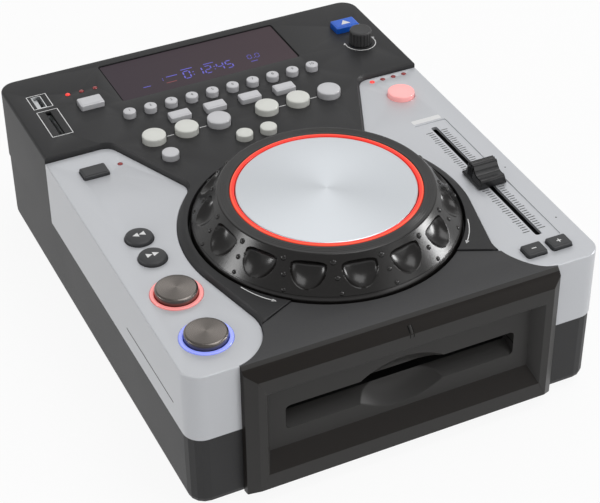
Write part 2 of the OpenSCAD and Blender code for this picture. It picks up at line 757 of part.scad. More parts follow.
module drive_frame() {
  color(steel) difference() {
    union() {
      difference() {
        block([-drive_w / 2, drive_w / 2], [drive_front, drive_front + drive_len], [drive_low, drive_top]);
        block([-drive_w / 2 + sheet, drive_w / 2 - sheet],
          [drive_front - 1, drive_front + drive_len - sheet], [drive_low + sheet, drive_top - sheet]);
      }
      disc(drive_c, 12, drive_low + sheet - eps, slot_z - 7);
    }
    disc(drive_c, 30, drive_top - 2 * sheet, drive_top + 1);
    disc(drive_c, spindle_r + run_gap, drive_low + sheet, slot_z);
    block([-20, 20], [drive_c.y + 20, drive_c.y + 58], [drive_low - 1, drive_low + 2]);
    translate([-side, roller_c.x, roller_c.y]) rotate([0, 90, 0]) cylinder(h = 2 * side, r = axle_r + run_gap);
    for (c = drive_posts) disc(c, 1.6, drive_low - 1, drive_low + 2);
  }
}

module drive_roller() {
  color([0.16, 0.16, 0.16]) translate([0, roller_c.x, roller_c.y]) rotate([0, 90, 0])
    rotate_extrude() polygon([[0, -drive_w / 2 - 1], [axle_r, -drive_w / 2 - 1],
      [axle_r, -drive_w / 2 + 4], [roller_r, -drive_w / 2 + 4], [roller_r - 0.8, 0],
      [roller_r, drive_w / 2 - 4], [axle_r, drive_w / 2 - 4], [axle_r, drive_w / 2 + 1],
      [0, drive_w / 2 + 1]]);
}

module drive_turntable() {
  color([0.2, 0.2, 0.2]) translate([drive_c.x, drive_c.y, slot_z]) rotate_extrude()
    polygon([[0, spindle_low], [spindle_r, spindle_low], [spindle_r, -6.7], [platter_r, -6.7],
      [platter_r, -4.7], [7.4, -4.7], [7.2, -3.6], [5, -2.6], [0, -2.6]]);
}

// ---- jog wheel ----

module jog_bush() {
  color([0.8, 0.65, 0.3]) translate([0, jog_c.y, 0]) difference() {
    union() {
      disc([0, 0], bush_r, under_well_z - 6, well_z + 0.4);
      disc([0, 0], bush_r + 3, under_well_z - 1.6, under_well_z - 0.1);
    }
    disc([0, 0], shaft_r + run_gap, under_well_z - 7, jog_z);
  }
}

module jog_rim() {
  color(black) translate([0, jog_c.y, 0]) difference() {
    rotate_extrude($fn = 96) polygon(concat(
      [[shaft_r, well_z + 1.4], [hub_r, well_z + 1.4], [hub_r, seat_z - 4], [flat_r - 8, seat_z - 4],
        [jog_r - 5, deck_z - 3], [jog_r - 5, well_z + 1], [jog_r, well_z + 1],
        [jog_r, deck_z - 0.6], flank[0], flank[1]],
      arc([flat_r - 0.3, flat_z - 1.4], 1.4, 60, 90, 2),
      [[plate_r + glow_w, flat_z], [plate_r + glow_w, seat_z], [shaft_r, seat_z]]));
    for (i = [0:dimple_count - 1]) rotate([0, 0, dimple_first + i * 360 / dimple_count]) dimple();
  }
}

// The cutter of one dimple: a round-nosed rod that leans less than the flank
module dimple() {
  u = (flank[0] + flank[1]) / 2;
  translate([u.x, 0, u.y]) rotate([0, 90 + flank_a - 15, 0])
    translate([2.1 - dimple_r, 0, -9]) rotate_extrude($fn = 48) polygon(concat(
      [[0, 30], [0, 0]],
      [for (a = [-60:15:0]) [dimple_r * cos(a), dimple_r * 0.45 * (1 + sin(a))]],
      [[dimple_r, 30]]));
}

module jog_glow_ring() {
  color([1, 0.15, 0.1]) translate([0, jog_c.y, 0]) rotate_extrude($fn = 96) polygon([
    [plate_r + fit, seat_z], [plate_r + glow_w - 0.05, seat_z], [plate_r + glow_w - 0.05, flat_z + 0.6],
    [plate_r + glow_w - 0.7, flat_z + 1.2], [plate_r + fit + 0.5, flat_z + 1.2],
    [plate_r + fit, flat_z + 0.8]]);
}

module jog_plate() {
  color(silver) translate([0, jog_c.y, 0]) rotate_extrude($fn = 96) polygon([
    [0, seat_z], [plate_r, seat_z], [plate_r, jog_z - 0.5], [plate_r - 0.5, jog_z], [0, jog_z]]);
}

module jog_shaft() {
  color(steel) translate([0, jog_c.y, 0]) rotate_extrude() polygon([
    [0, board_z - 5.5], [shaft_r, board_z - 5.5], [shaft_r, board_z - 4.5], [23, board_z - 4.5],
    [23, board_z - 3.5], [shaft_r, board_z - 3.5], [shaft_r, well_z + 0.55], [shaft_r + 2, well_z + 0.55],
    [shaft_r + 2, well_z + 1.4], [shaft_r, well_z + 1.4], [shaft_r, seat_z - 0.1], [0, seat_z - 0.1]]);
}

// ---- controls ----

module fader_body() {
  color([0.2, 0.2, 0.22]) translate([fader_c.x, fader_c.y, 0]) difference() {
    block([-6.5, 6.5], [-slot_len / 2 - 2.4, slot_len / 2 + 2.4], [under_core_z - 13, under_core_z - 0.1]);
    block([-1.2, 1.2], [-slot_len / 2 - 1, slot_len / 2 + 1], [under_core_z - 9, under_core_z]);
  }
}

module fader_cap() {
  color([0.12, 0.12, 0.12]) translate([fader_c.x, fader_c.y, cheek_z + fit]) {
    intersection() {
      rotate([90, 0, 90]) linear_extrude(30, center = true) polygon([[-10, 0], [10, 0], [10, 1.2],
        [8, 2.2], [6.4, 8.6], [5, 9.8], [3.6, 8.9], [2.6, 9.6], [1.4, 8.4], [-0.5, 6.6], [-3, 5.3],
        [-5.5, 5], [-7.6, 5.6], [-8.6, 5.2], [-9.3, 2.2], [-10, 1.2]]);
      rotate([90, 0, 0]) linear_extrude(40, center = true) polygon([[-9.7, 0], [9.7, 0], [9.7, 1.2],
        [8.7, 1.8], [7.3, 10], [-7.3, 10], [-8.7, 1.8], [-9.7, 1.2]]);
    }
    block([-0.8, 0.8], [-3, 3], [under_core_z - 8 - cheek_z, 1]);
  }
}

module select_knob() {
  color([0.1, 0.1, 0.1]) translate([knob_c.x, knob_c.y, deck_z]) difference() {
    union() {
      disc([0, 0], 3, board_z + 0.8 - deck_z, 1);
      translate([0, 0, 0.6]) cylinder(h = knob_h - 1.2, r = knob_r);
      translate([0, 0, knob_h - 0.6 - eps]) cylinder(h = 0.6, r1 = knob_r, r2 = knob_r - 0.6);
    }
    for (i = [0:19]) rotate([0, 0, 18 * i]) disc([knob_r + 0.25, 0], 0.7, -1, knob_h - 1.5);
  }
}

module light_guides() {
  color([0.9, 0.2, 0.2]) {
    for (c = deck_lens) disc(c, lens_r, under_deck_z - 2, deck_z + 0.3);
    for (c = concat(left_lens, right_lens)) disc(c, lens_r, under_core_z - 1, cheek_z + 0.3);
    for (c = [play_c, cue_c]) difference() {
      disc(c, metal_r + key_gap + glow_ring_w, core_z + 0.02, cheek_z + 0.4);
      disc(c, metal_r + key_gap, core_z - 1, cheek_z + 1);
    }
  }
}

module feet() {
  color([0.08, 0.08, 0.08]) for (x = stand_x) for (y = stand_y) disc([x, y], feet_r, 0, feet_h + 1);
}

module case_screws() {
  color(steel) for (c = tower_c) for (s = [-1, 1]) {
    disc([s * c.x, c.y], screw_r + 1.2, seam_z - 14, seam_z - 12);
    disc([s * c.x, c.y], screw_r - 0.2, seam_z - 12 - eps, seam_z + 8);
  }
}

module number_button(i) { color(grey) round_key(number_c[i], number_r, deck_z + 3.5, deck_under); }
module strip_button(i) { color(grey) box_key(strip_c[i], strip_size, deck_z + 3, deck_under); }
module loop_button(i, tint) { color(tint) round_key(loop_c[i], loop_r, deck_z + 4, deck_under); }
module deck_button(c, tint) { color(tint) round_key(c, round_r, deck_z + 3.5, deck_under); }
module tap_button() { deck_button(tap_c, grey); }
module reverse_button() { deck_button(reverse_c, white); }
module relay_button() { deck_button(relay_c, white); }
module time_button() { color(grey) box_key(time_c, time_size, deck_z + 3, deck_under); }
module eject_button() { color([0, 0.43, 0.86]) box_key(eject_c, eject_size, deck_z + 3.5, deck_under); }
module shift_button() { color(black) box_key(shift_c, shift_size, cheek_z + 2, cheek_under); }
module search_button(i) {
  color(black) round_key(search_c[i], search_r, cheek_z + 2.5, cheek_under, 1.1);
}
module metal_button(c) { color(steel) round_key(c, metal_r, cheek_z + 4, cheek_under, 0.1, 0.5); }
module play_button() { metal_button(play_c); }
module cue_button() { metal_button(cue_c); }
module lamp_button() { color([1, 0.75, 0.75]) round_key(lamp_c, lamp_r, cheek_z + 3, cheek_under); }
module bend_button(i) { color(black) box_key(bend_cs[i], bend_size, cheek_z + 2, cheek_under); }

lower_case();
upper_case();
left_cheek();
right_cheek();
front_bezel();
display_window();
control_board();
main_board();
power_supply();
rear_panel();
rear_sockets();
media_sockets();
power_rocker();
drive_frame();
drive_roller();
drive_turntable();
jog_bush();
jog_rim();
jog_glow_ring();
jog_plate();
jog_shaft();
fader_body();
fader_cap();
select_knob();
light_guides();
feet();
case_screws();
number_button(0);  // number_button_1
number_button(1);  // number_button_2
number_button(2);  // number_button_3
number_button(3);  // number_button_4
number_button(4);  // number_button_5
number_button(5);  // number_button_6
number_button(6);  // number_button_7
number_button(7);  // number_button_8
number_button(8);  // number_button_9
number_button(9);  // number_button_10
strip_button(0);  // strip_button_1
strip_button(1);  // strip_button_2
strip_button(2);  // strip_button_3
strip_button(3);  // strip_button_4
loop_button(0, white);  // loop_button_1
loop_button(1, white);  // loop_button_2
loop_button(2, grey);  // loop_button_3
loop_button(3, white);  // loop_button_4
loop_button(4, white);  // loop_button_5
loop_button(5, grey);  // loop_button_6
tap_button();
reverse_button();
relay_button();
time_button();
eject_button();
shift_button();
search_button(0);  // search_back_button
search_button(1);  // search_forward_button
play_button();
cue_button();
lamp_button();
bend_button(0);  // bend_down_button
bend_button(1);  // bend_up_button
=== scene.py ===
"""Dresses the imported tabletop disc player: case shells, jog wheel, keys, slider, display, prints and studio.

Shapes are worked out in millimetres, in the frame's own axes: x to the right, y to the back, z up.
"""

import math

import bmesh
import bpy
import numpy as np
from bpy.props import FloatProperty, FloatVectorProperty, IntProperty, PointerProperty, StringProperty
from mathutils import Matrix, Vector
from mathutils.geometry import delaunay_2d_cdt


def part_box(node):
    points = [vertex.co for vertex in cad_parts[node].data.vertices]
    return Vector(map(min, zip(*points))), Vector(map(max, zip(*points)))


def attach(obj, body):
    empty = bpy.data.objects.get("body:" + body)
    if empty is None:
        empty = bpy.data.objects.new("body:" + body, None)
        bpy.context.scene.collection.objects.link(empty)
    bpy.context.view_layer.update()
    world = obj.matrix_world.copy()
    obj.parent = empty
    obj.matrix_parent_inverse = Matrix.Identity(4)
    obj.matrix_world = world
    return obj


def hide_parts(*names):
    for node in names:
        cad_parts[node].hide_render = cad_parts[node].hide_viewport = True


bl_info = {
    "name": "Tabletop disc player",
    "version": (1, 0, 0),
    "blender": (4, 5, 0),
    "location": "3D View > Sidebar > Disc Player",
    "description": "Builds the shells, jog wheel, keys, display, prints and studio of a tabletop disc player",
    "category": "Object",
}

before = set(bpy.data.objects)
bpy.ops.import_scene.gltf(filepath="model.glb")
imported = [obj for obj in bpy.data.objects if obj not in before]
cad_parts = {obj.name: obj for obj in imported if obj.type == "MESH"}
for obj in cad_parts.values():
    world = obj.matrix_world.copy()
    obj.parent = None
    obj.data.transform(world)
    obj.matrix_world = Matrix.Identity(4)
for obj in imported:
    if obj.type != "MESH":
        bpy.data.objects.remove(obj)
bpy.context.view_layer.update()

MM = 0.001


def span(node):
    """A CAD node's lowest and highest corner at rest, in millimetres."""
    low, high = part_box(node)
    return np.array(low) / MM, np.array(high) / MM


def middle(node):
    """The middle of a CAD node's box at rest, in millimetres."""
    low, high = span(node)
    return (low + high) / 2


# Levels and sides that the frame gives
CHEEK_LOW, CHEEK_HIGH = span("right_cheek")
SIDE = CHEEK_HIGH[0]
FRONT = CHEEK_LOW[1]
CHEEK_BACK = CHEEK_HIGH[1]
CHEEK_TOP = CHEEK_HIGH[2]
SEAM = CHEEK_LOW[2]
DECK_TOP = span("upper_case")[1][2]
BACK = span("upper_case")[1][1]
JOG = middle("jog_rim")[:2]
JOG_R = span("jog_rim")[1][0]
JOG_TOP = span("jog_plate")[1][2]
FLAT = JOG_TOP - 0.2
BEZEL_LOW, BEZEL_HIGH = span("front_bezel")
CHEEK_X = -middle("play_button")[0]
SLOT_Z = CHEEK_TOP - 40.5


def place(x, y):
    """A point in plan, x from the middle and y from the front face."""
    return np.array([x, FRONT + y])


def towards(degrees):
    """The unit vector in plan at an angle."""
    turn = math.radians(degrees)
    return np.array([math.cos(turn), math.sin(turn)])


def angle_of(vector):
    """The angle of a vector in plan, in degrees."""
    return math.degrees(math.atan2(vector[1], vector[0]))


def curve(start, control, end, t):
    """Points at t on the quadratic curve from start to end, drawn towards its control point."""
    return (1 - t) ** 2 * start + 2 * t * (1 - t) * control + t**2 * end


# ---- outlines and profiles ----


def arc(centre, radius, start, end, steps):
    """Points on a circle: centre plus radius times (cos a, sin a), for even angles in degrees."""
    turn = np.radians(np.linspace(start, end, steps + 1))
    return np.asarray(centre) + radius * np.column_stack([np.cos(turn), np.sin(turn)])


def circle(centre, radius, steps=48):
    """A closed ring of points on a circle, anticlockwise."""
    return arc(centre, radius, 0, 360, steps)[:-1]


def rounded(centre, size, radius, steps=5):
    """A rectangle's ring with a quarter circle at each corner, anticlockwise."""
    half = np.asarray(size) / 2 - radius
    signs = ((1, -1, -90), (1, 1, 0), (-1, 1, 90), (-1, -1, 180))
    corners = [arc(np.asarray(centre) + half * (sx, sy), radius, a, a + 90, steps) for sx, sy, a in signs]
    return np.concatenate(corners)


def inset(ring, distance):
    """A closed ring moved to its left by a distance, one for all points or one for each.

    Each point moves along its mitre: the sum of its two edge normals over one plus their dot product.
    """
    edge = np.roll(ring, -1, axis=0) - ring
    edge = edge / np.linalg.norm(edge, axis=1, keepdims=True)
    after = np.column_stack([-edge[:, 1], edge[:, 0]])
    before = np.roll(after, 1, axis=0)
    mitre = (before + after) / (1 + (before * after).sum(axis=1, keepdims=True))
    return ring + mitre * np.reshape(distance, (-1, 1))


def lifted(ring, level):
    """A ring in plan at a level, one for all points or one for each."""
    return np.column_stack([ring, np.broadcast_to(level, len(ring))])


def softened(corners, reach, steps=4):
    """An open profile whose inner corners are rounded.

    Each corner becomes the quadratic curve from the point that far before it to the point that far after.
    """
    corners = np.asarray(corners, float)
    t = np.linspace(0, 1, steps + 1)[:, None]
    parts = [corners[:1]]
    for before, corner, after in zip(corners[:-2], corners[1:-1], corners[2:]):
        back, on = before - corner, after - corner
        start = corner + back * min(0.45, reach / np.linalg.norm(back))
        end = corner + on * min(0.45, reach / np.linalg.norm(on))
        parts.append(curve(start, corner, end, t))
    return np.concatenate([*parts, corners[-1:]])


def smooth(t):
    """The smooth step of t: 3 t squared less 2 t cubed, with t kept from 0 to 1."""
    t = np.clip(t, 0, 1)
    return t * t * (3 - 2 * t)


# ---- meshes ----


def quads(rows, columns, close_rows=False, close_columns=False):
    """The faces of a grid of points; a closed direction joins its last line to its first."""
    row = np.arange(rows if close_rows else rows - 1)[:, None]
    column = np.arange(columns if close_columns else columns - 1)[None, :]
    next_row, next_column = (row + 1) % rows, (column + 1) % columns
    corners = (
        row * columns + column,
        row * columns + next_column,
        next_row * columns + next_column,
        next_row * columns + column,
    )
    return np.stack(np.broadcast_arrays(*corners), axis=-1).reshape(-1, 4)


def inside(points, loops):
    """Whether each point lies inside the loops: a ray to its right crosses an odd number of their edges."""
    start = np.concatenate(loops)
    end = np.concatenate([np.roll(loop, -1, axis=0) for loop in loops])
    x, y = points[:, :1], points[:, 1:]
    spans = (start[:, 1] > y) != (end[:, 1] > y)
    rise = np.where(end[:, 1] == start[:, 1], 1, end[:, 1] - start[:, 1])
    crossing = start[:, 0] + (y - start[:, 1]) * (end[:, 0] - start[:, 0]) / rise
    return (spans & (x < crossing)).sum(axis=1) % 2 == 1


def fill(loops):
    """Anticlockwise triangles between an outline and its holes: a constrained Delaunay triangulation."""
    points = np.concatenate(loops)
    starts = np.cumsum([0] + [len(loop) for loop in loops])
    edges = [(s + i, s + (i + 1) % len(loop)) for s, loop in zip(starts, loops) for i in range(len(loop))]
    found = delaunay_2d_cdt([Vector(p) for p in points], edges, [], 0, 1e-7)
    if len(found[0]) != len(points):
        raise RuntimeError("an outline crosses one of its holes")
    faces = np.array(found[2])
    corners = points[faces]
    faces = faces[inside(corners.mean(axis=1), loops)]
    a, b, c = np.moveaxis(points[faces], 1, 0)
    area = (b - a)[:, 0] * (c - a)[:, 1] - (b - a)[:, 1] * (c - a)[:, 0]
    return np.where((area < 0)[:, None], faces[:, ::-1], faces)


class Shape:
    """Gathers the surfaces of one piece, in millimetres, and makes it a mesh."""

    def __init__(self):
        self.points, self.faces, self.slots, self.flats, self.count = [], [], [], [], 0

    def add(self, points, faces, slot=0, flat=False):
        """Adds points and faces with a material number; flat faces keep their own normal."""
        self.points.append(np.asarray(points, float).reshape(-1, 3))
        self.faces += (np.asarray(faces) + self.count).tolist()
        self.slots += [slot] * len(faces)
        self.flats += [flat] * len(faces)
        self.count += len(self.points[-1])

    def loft(self, rings, slot=0):
        """A skin over rings of equally many points; anticlockwise rings from low to high face outwards."""
        grid = np.stack(rings)
        self.add(grid, quads(len(rings), grid.shape[1], False, True), slot)

    def turned(self, centre, profile, slot=0, steps=48):
        """A profile of (radius, level) carried round an upright axle, from its lower end to its upper."""
        self.loft([lifted(circle(centre, r, steps), z) for r, z in profile], slot)

    def cap(self, ring, profile):
        """A ring carried up a profile of (inset, level) and closed at both ends in its middle."""
        centre = ring.mean(axis=0)
        rings = [lifted(inset(ring, d), z) for d, z in profile]
        first = lifted(ring * 0 + centre, profile[0][1])
        last = lifted(ring * 0 + centre, profile[-1][1])
        self.loft([first, *rings, last])

    def sheet(self, loops, level, down=False):
        """A flat face between an outline and its holes."""
        faces = fill(loops)
        points = np.concatenate(loops)
        self.add(lifted(points, level), faces[:, ::-1] if down else faces, flat=True)

    def band(self, path, width, level, slot=0):
        """A flat stripe of a width along an open path."""
        along = np.gradient(np.asarray(path, float), axis=0)
        along /= np.linalg.norm(along, axis=1, keepdims=True)
        across = np.column_stack([-along[:, 1], along[:, 0]]) * width / 2
        grid = np.stack([lifted(path - across, level), lifted(path + across, level)])
        self.add(grid, quads(2, len(path)), slot)

    def outline(self, ring, width, level, slot=0):
        """A flat line along the inside of a closed ring."""
        grid = np.stack([lifted(ring, level), lifted(inset(ring, width), level)])
        self.add(grid, quads(2, len(ring), False, True), slot)

    def patch(self, corners, level, slot=0):
        """A flat face with few corners, given anticlockwise."""
        self.add(lifted(np.asarray(corners, float), level), [list(range(len(corners)))], slot, flat=True)

    def piece(self, name, body, materials, stands_for=(), crease=32, moved=None):
        """Makes the object and sets its finishes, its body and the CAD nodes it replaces."""
        obj = self.mesh(name, crease, moved)
        for material in materials:
            obj.data.materials.append(material)
        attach(obj, body)
        if stands_for:
            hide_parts(*stands_for)
        return obj

    def mesh(self, name, crease=32, moved=None):
        """Makes the mesh and its object, in metres, with seams and poles closed."""
        points = np.concatenate(self.points)
        if moved is not None:
            points = moved(points)
        mesh = bpy.data.meshes.new(name)
        mesh.from_pydata(points * MM, [], self.faces)
        mesh.polygons.foreach_set("material_index", self.slots)
        mesh.polygons.foreach_set("use_smooth", ~np.array(self.flats))
        work = bmesh.new()
        work.from_mesh(mesh)
        bmesh.ops.remove_doubles(work, verts=work.verts, dist=2e-6)
        bmesh.ops.dissolve_degenerate(work, edges=work.edges, dist=1e-7)
        work.to_mesh(mesh)
        work.free()
        mesh.set_sharp_from_angle(angle=math.radians(crease))
        obj = bpy.data.objects.new(name, mesh)
        bpy.context.scene.collection.objects.link(obj)
        return obj


def towards_front(points):
    """Turns a shape drawn lying on its back to face the front: its top looks along -y, its far side up."""
    return np.column_stack([points[:, 0], -points[:, 2], points[:, 1]])


def plate(shape, ring, top, rim, holes=(), trays=(), thickness=2.2, chamfer=0.25):
    """A level top with a shaped rim, walls down to their own feet, an underside, and holes.

    Round the rim the point t of the edge lies inwards by width times (1 - cos a) and below the top by
    height times (1 - sin a), with a = 90 degrees times t, mixed with a straight slope by `straight`.
    A tray is (ring, depth, hole): a shallow pocket with a hole of its own in its floor.
    """
    width, height, straight, foot = rim
    under = top - thickness
    inner = inset(ring, thickness)
    rings = [lifted(inner, under), lifted(inner, foot), lifted(ring, foot)]
    for t in np.linspace(0, 1, 8):
        across = (1 - straight) * (1 - math.cos(t * math.pi / 2)) + straight * t
        up = (1 - straight) * math.sin(t * math.pi / 2) + straight * t
        rings.append(lifted(inset(ring, width * across), top - height * (1 - up)))
    shape.loft(rings)
    upper, lower = [inset(ring, width)], [inner]
    for hole in holes:
        hole = hole[::-1]
        edge = [(0, under), (0, top - chamfer), (chamfer * 0.3, top - chamfer * 0.3), (chamfer, top)]
        shape.loft([lifted(inset(hole, d), z) for d, z in edge])
        upper.append(inset(hole, chamfer))
        lower.append(hole)
    for tray, depth, hole in trays:
        floor = top - depth
        tray, hole = tray[::-1], hole[::-1]
        shape.loft([lifted(inset(tray, d), z) for d, z in ((0, floor), (0, top - 0.15), (0.15, top))])
        shape.sheet([tray, hole], floor)
        shape.loft([lifted(hole, under), lifted(hole, floor)])
        upper.append(inset(tray, 0.15))
        lower.append(hole)
    shape.sheet(upper, top)
    shape.sheet(lower, under, down=True)


# ---- settings ----


def length(name, description, millimetres):
    """A length property whose default is given in millimetres."""
    return FloatProperty(
        name=name, description=description, default=millimetres * MM, min=0, unit="LENGTH", precision=5
    )


def amount(name, description, default, lowest=0):
    """A property that is a plain number."""
    return FloatProperty(name=name, description=description, default=default, min=lowest)


def colour(name, description, red, green, blue):
    """A colour property whose default is given as screen values from 0 to 255."""
    screen = np.array([red, green, blue]) / 255
    linear = np.where(screen <= 0.04045, screen / 12.92, ((screen + 0.055) / 1.055) ** 2.4)
    return FloatVectorProperty(
        name=name, description=description, subtype="COLOR", size=3, min=0, max=1, default=linear.tolist()
    )


class CaseSizes(bpy.types.PropertyGroup):
    """Sizes of the case's shells that the frame's boxes don't give."""

    corner: length("Corner radius", "Radius of the case's upright corners", 9.5)
    edge: length("Case edge", "Radius of the deck's outer edge", 1.5)
    deck_edge: length("Deck edge", "Width of the sloping edge between deck and cheeks", 1.3)
    collar: length("Collar width", "Width of the sloping collar beside the jog wheel", 3.4)
    cheek_edge: length("Cheek edge", "Radius of the cheeks' outer edges", 0.7)
    shoulder_x: length("Shoulder", "Distance of the cheek's rear shoulder from the middle", 74.5)
    neck_x: length("Neck", "Distance of the cheek's narrow point from the middle", 54.5)
    neck_y: length("Neck place", "Distance of the cheek's narrow point from the front", 147)
    bend: length("Bend radius", "Radius of the cheek outline at shoulder and neck", 8)
    lobe: length("Lobe radius", "Radius of the cheek outline at its front end", 24)
    gap: length("Joint gap", "Gap between two shells", 0.15)


class WheelSizes(bpy.types.PropertyGroup):
    """Sizes of the jog wheel."""

    well_gap: length("Well gap", "Gap between the wheel and its well", 1.2)
    plate: length("Plate radius", "Radius of the metal plate on top", 45.6)
    glow: length("Light ring", "Width of the light ring round the plate", 2.5)
    dimple_wide: length("Dimple width", "Width of a finger dimple", 17.6)
    dimple_deep: length("Dimple depth", "Depth of a finger dimple", 4.2)
    dimples: IntProperty(name="Dimples", description="Number of finger dimples", default=15, min=3, max=24)
    first: FloatProperty(
        name="First dimple", description="Where the first dimple lies", subtype="ANGLE",
        default=math.radians(259.4),
    )


class FinishColours(bpy.types.PropertyGroup):
    """Colours of the finishes, as they look under even light; the bevels' darker black is painted shade."""

    case: colour("Case", "Moulded black of deck and tub", 42, 42, 43)
    bezel: colour("Front", "Moulded black of the disc slot's frame", 51, 50, 49)
    shelf: colour("Shelf", "Moulded black of the shelf behind the front frame", 60, 60, 61)
    # The bevels' colour is the front's black darkened as painted shade, used on the bevels, outer sides and
    # lower recess wall
    bevel: colour("Bevels", "Smoother black of the frame's bevels, darkened as painted shade", 34, 31, 29)
    silver: colour("Cheeks", "Satin silver paint", 196, 198, 202)
    wheel: colour("Wheel", "Black of the jog wheel", 22, 20, 19)
    metal: colour("Plate", "Spun metal of the plate", 206, 210, 214)
    steel: colour("Caps", "Spun metal of the start and stop caps", 112, 107, 103)
    grey_key: colour("Grey keys", "Unlit keys", 200, 200, 203)
    lit_key: colour("Lit keys", "Lit white keys", 211, 212, 206)
    pink_key: colour("Rose key", "Key lit from below in red", 250, 170, 168)
    blue_key: colour("Blue key", "Tray key", 0, 92, 205)
    dark_key: colour("Dark keys", "Dark moulded keys", 50, 51, 53)
    red_light: colour("Red light", "Red ring and lamps", 240, 48, 32)
    blue_light: colour("Blue light", "Blue ring", 70, 105, 255)
    digits: colour("Digits", "Digits of the display", 92, 84, 220)
    window: colour("Window", "Smoked window of the display", 58, 40, 48)
    print_white: colour("White print", "Printed lines and arrows", 225, 225, 225)


class StudioSettings(bpy.types.PropertyGroup):
    """Light, floor and camera."""

    lens: amount("Lens", "Focal length for a 36 mm sensor", 105.164, 10)
    key: amount("Key light", "Power of the softbox overhead", 10)
    fill: amount("Fill light", "Power of the back softbox; the side and front ones have multiples of it", 2.4)
    world: amount("Room light", "Strength of the even light all round", 0.55)
    floor_size: FloatProperty(name="Floor", description="Width of the flat floor", default=10, unit="LENGTH")


def settings():
    """The scene's own copy of each group of settings."""
    scene = bpy.context.scene
    return scene.player_case, scene.player_wheel, scene.player_colours, scene.player_studio


# ---- finishes ----


def new_nodes(tree, *kinds):
    """New nodes in a tree, one of each kind, named without the ShaderNode before it."""
    return [tree.nodes.new(f"ShaderNode{kind}") for kind in kinds]


def math_node(tree, operation, first, second=0.0):
    """A Math node's output; each input is a socket or a number."""
    node = tree.nodes.new("ShaderNodeMath")
    node.operation = operation
    for socket, value in zip(node.inputs, (first, second)):
        if isinstance(value, (int, float)):
            socket.default_value = value
        else:
            tree.links.new(value, socket)
    return node.outputs[0]


def set_inputs(node, values):
    """Sets a node's inputs by their names."""
    for name, value in values.items():
        node.inputs[name].default_value = value


def finish_group(name, links_in, numbers):
    """A new node group that gives colour, roughness and height; returns it and its sockets inside."""
    group = bpy.data.node_groups.new(name, "ShaderNodeTree")
    socket = group.interface.new_socket
    for label, kind in links_in.items():
        socket(label, in_out="INPUT", socket_type=f"NodeSocket{kind}")
    for label, value in numbers.items():
        socket(label, in_out="INPUT", socket_type="NodeSocketFloat").default_value = value
    for label, kind in (("Colour", "Color"), ("Roughness", "Float"), ("Height", "Float")):
        socket(label, in_out="OUTPUT", socket_type=f"NodeSocket{kind}")
    inputs, outputs = group.nodes.new("NodeGroupInput"), group.nodes.new("NodeGroupOutput")
    return group, inputs.outputs, outputs.inputs


def shade_by(group, colour, bright, target):
    """Feeds a colour times a brightness into a socket."""
    shade = group.nodes.new("ShaderNodeVectorMath")
    shade.operation = "SCALE"
    group.links.new(colour, shade.inputs[0])
    group.links.new(bright, shade.inputs["Scale"])
    group.links.new(shade.outputs["Vector"], target)


def varied(group, noise, amount_socket, base):
    """A base plus a noise, centred on zero, times an amount."""
    centred = math_node(group, "SUBTRACT", noise.outputs["Fac"], 0.5)
    return math_node(group, "ADD", math_node(group, "MULTIPLY", centred, amount_socket), base)


def grain_group():
    """Moulded grain: fine noise for the texture of the mould, coarse noise for handling marks."""
    if "Moulded grain" in bpy.data.node_groups:
        return bpy.data.node_groups["Moulded grain"]
    numbers = {"Grain per metre": 2600, "Speckle": 0.1, "Roughness": 0.5, "Marks": 0.06}
    group, given, result = finish_group("Moulded grain", {"Colour": "Color"}, numbers)
    link = group.links.new
    where, fine, coarse = new_nodes(group, "TexCoord", "TexNoise", "TexNoise")
    set_inputs(fine, {"Detail": 3})
    set_inputs(coarse, {"Scale": 28, "Detail": 5})
    for noise in (fine, coarse):
        link(where.outputs["Object"], noise.inputs["Vector"])
    link(given["Grain per metre"], fine.inputs["Scale"])
    shade_by(group, given["Colour"], varied(group, fine, given["Speckle"], 1.0), result["Colour"])
    link(varied(group, coarse, given["Marks"], given["Roughness"]), result["Roughness"])
    link(fine.outputs["Fac"], result["Height"])
    return group


def spun_group():
    """Spun metal: fine rings about an upright axle, from the distance to it, and a painted sheen round it.

    The painted sheen makes the colour brightest along a bearing and darkest across it: 1 + painted_sheen *
    cos(2 * (angle - bearing)).
    """
    if "Spun metal" in bpy.data.node_groups:
        return bpy.data.node_groups["Spun metal"]
    numbers = {"Rings per metre": 3000, "Roughness": 0.3, "Painted sheen": 0.1, "Bearing": 0.0, "Lines": 0.16}
    group, given, result = finish_group("Spun metal", {"Centre": "Vector", "Colour": "Color"}, numbers)
    link = group.links.new
    where, away, parts, rings = new_nodes(group, "TexCoord", "VectorMath", "SeparateXYZ", "TexNoise")
    away.operation = "SUBTRACT"
    link(where.outputs["Object"], away.inputs[0])
    link(given["Centre"], away.inputs[1])
    link(away.outputs["Vector"], parts.inputs[0])
    squared = [math_node(group, "MULTIPLY", parts.outputs[i], parts.outputs[i]) for i in (0, 1)]
    radius = math_node(group, "SQRT", math_node(group, "ADD", *squared))
    angle = math_node(group, "ARCTAN2", parts.outputs[1], parts.outputs[0])
    rings.noise_dimensions = "1D"
    set_inputs(rings, {"Scale": 1, "Detail": 3})
    link(math_node(group, "MULTIPLY", radius, given["Rings per metre"]), rings.inputs["W"])
    # Painted sheen: the colour is made brighter along the bearing and darker across it, standing in for the
    # metal's highlight
    turned = math_node(group, "SUBTRACT", angle, given["Bearing"])
    doubled = math_node(group, "COSINE", math_node(group, "MULTIPLY", turned, 2.0))
    sheen_factor = math_node(group, "ADD", 1.0, math_node(group, "MULTIPLY", doubled, given["Painted sheen"]))
    shade_by(group, given["Colour"], varied(group, rings, given["Lines"], sheen_factor), result["Colour"])
    link(varied(group, rings, given["Lines"], given["Roughness"]), result["Roughness"])
    link(rings.outputs["Fac"], result["Height"])
    return group


def new_material(name):
    """A new node material; returns it with its tree and its Principled shader."""
    material = bpy.data.materials.new(name)
    material.use_nodes = True
    tree = material.node_tree
    return material, tree, tree.nodes["Principled BSDF"]


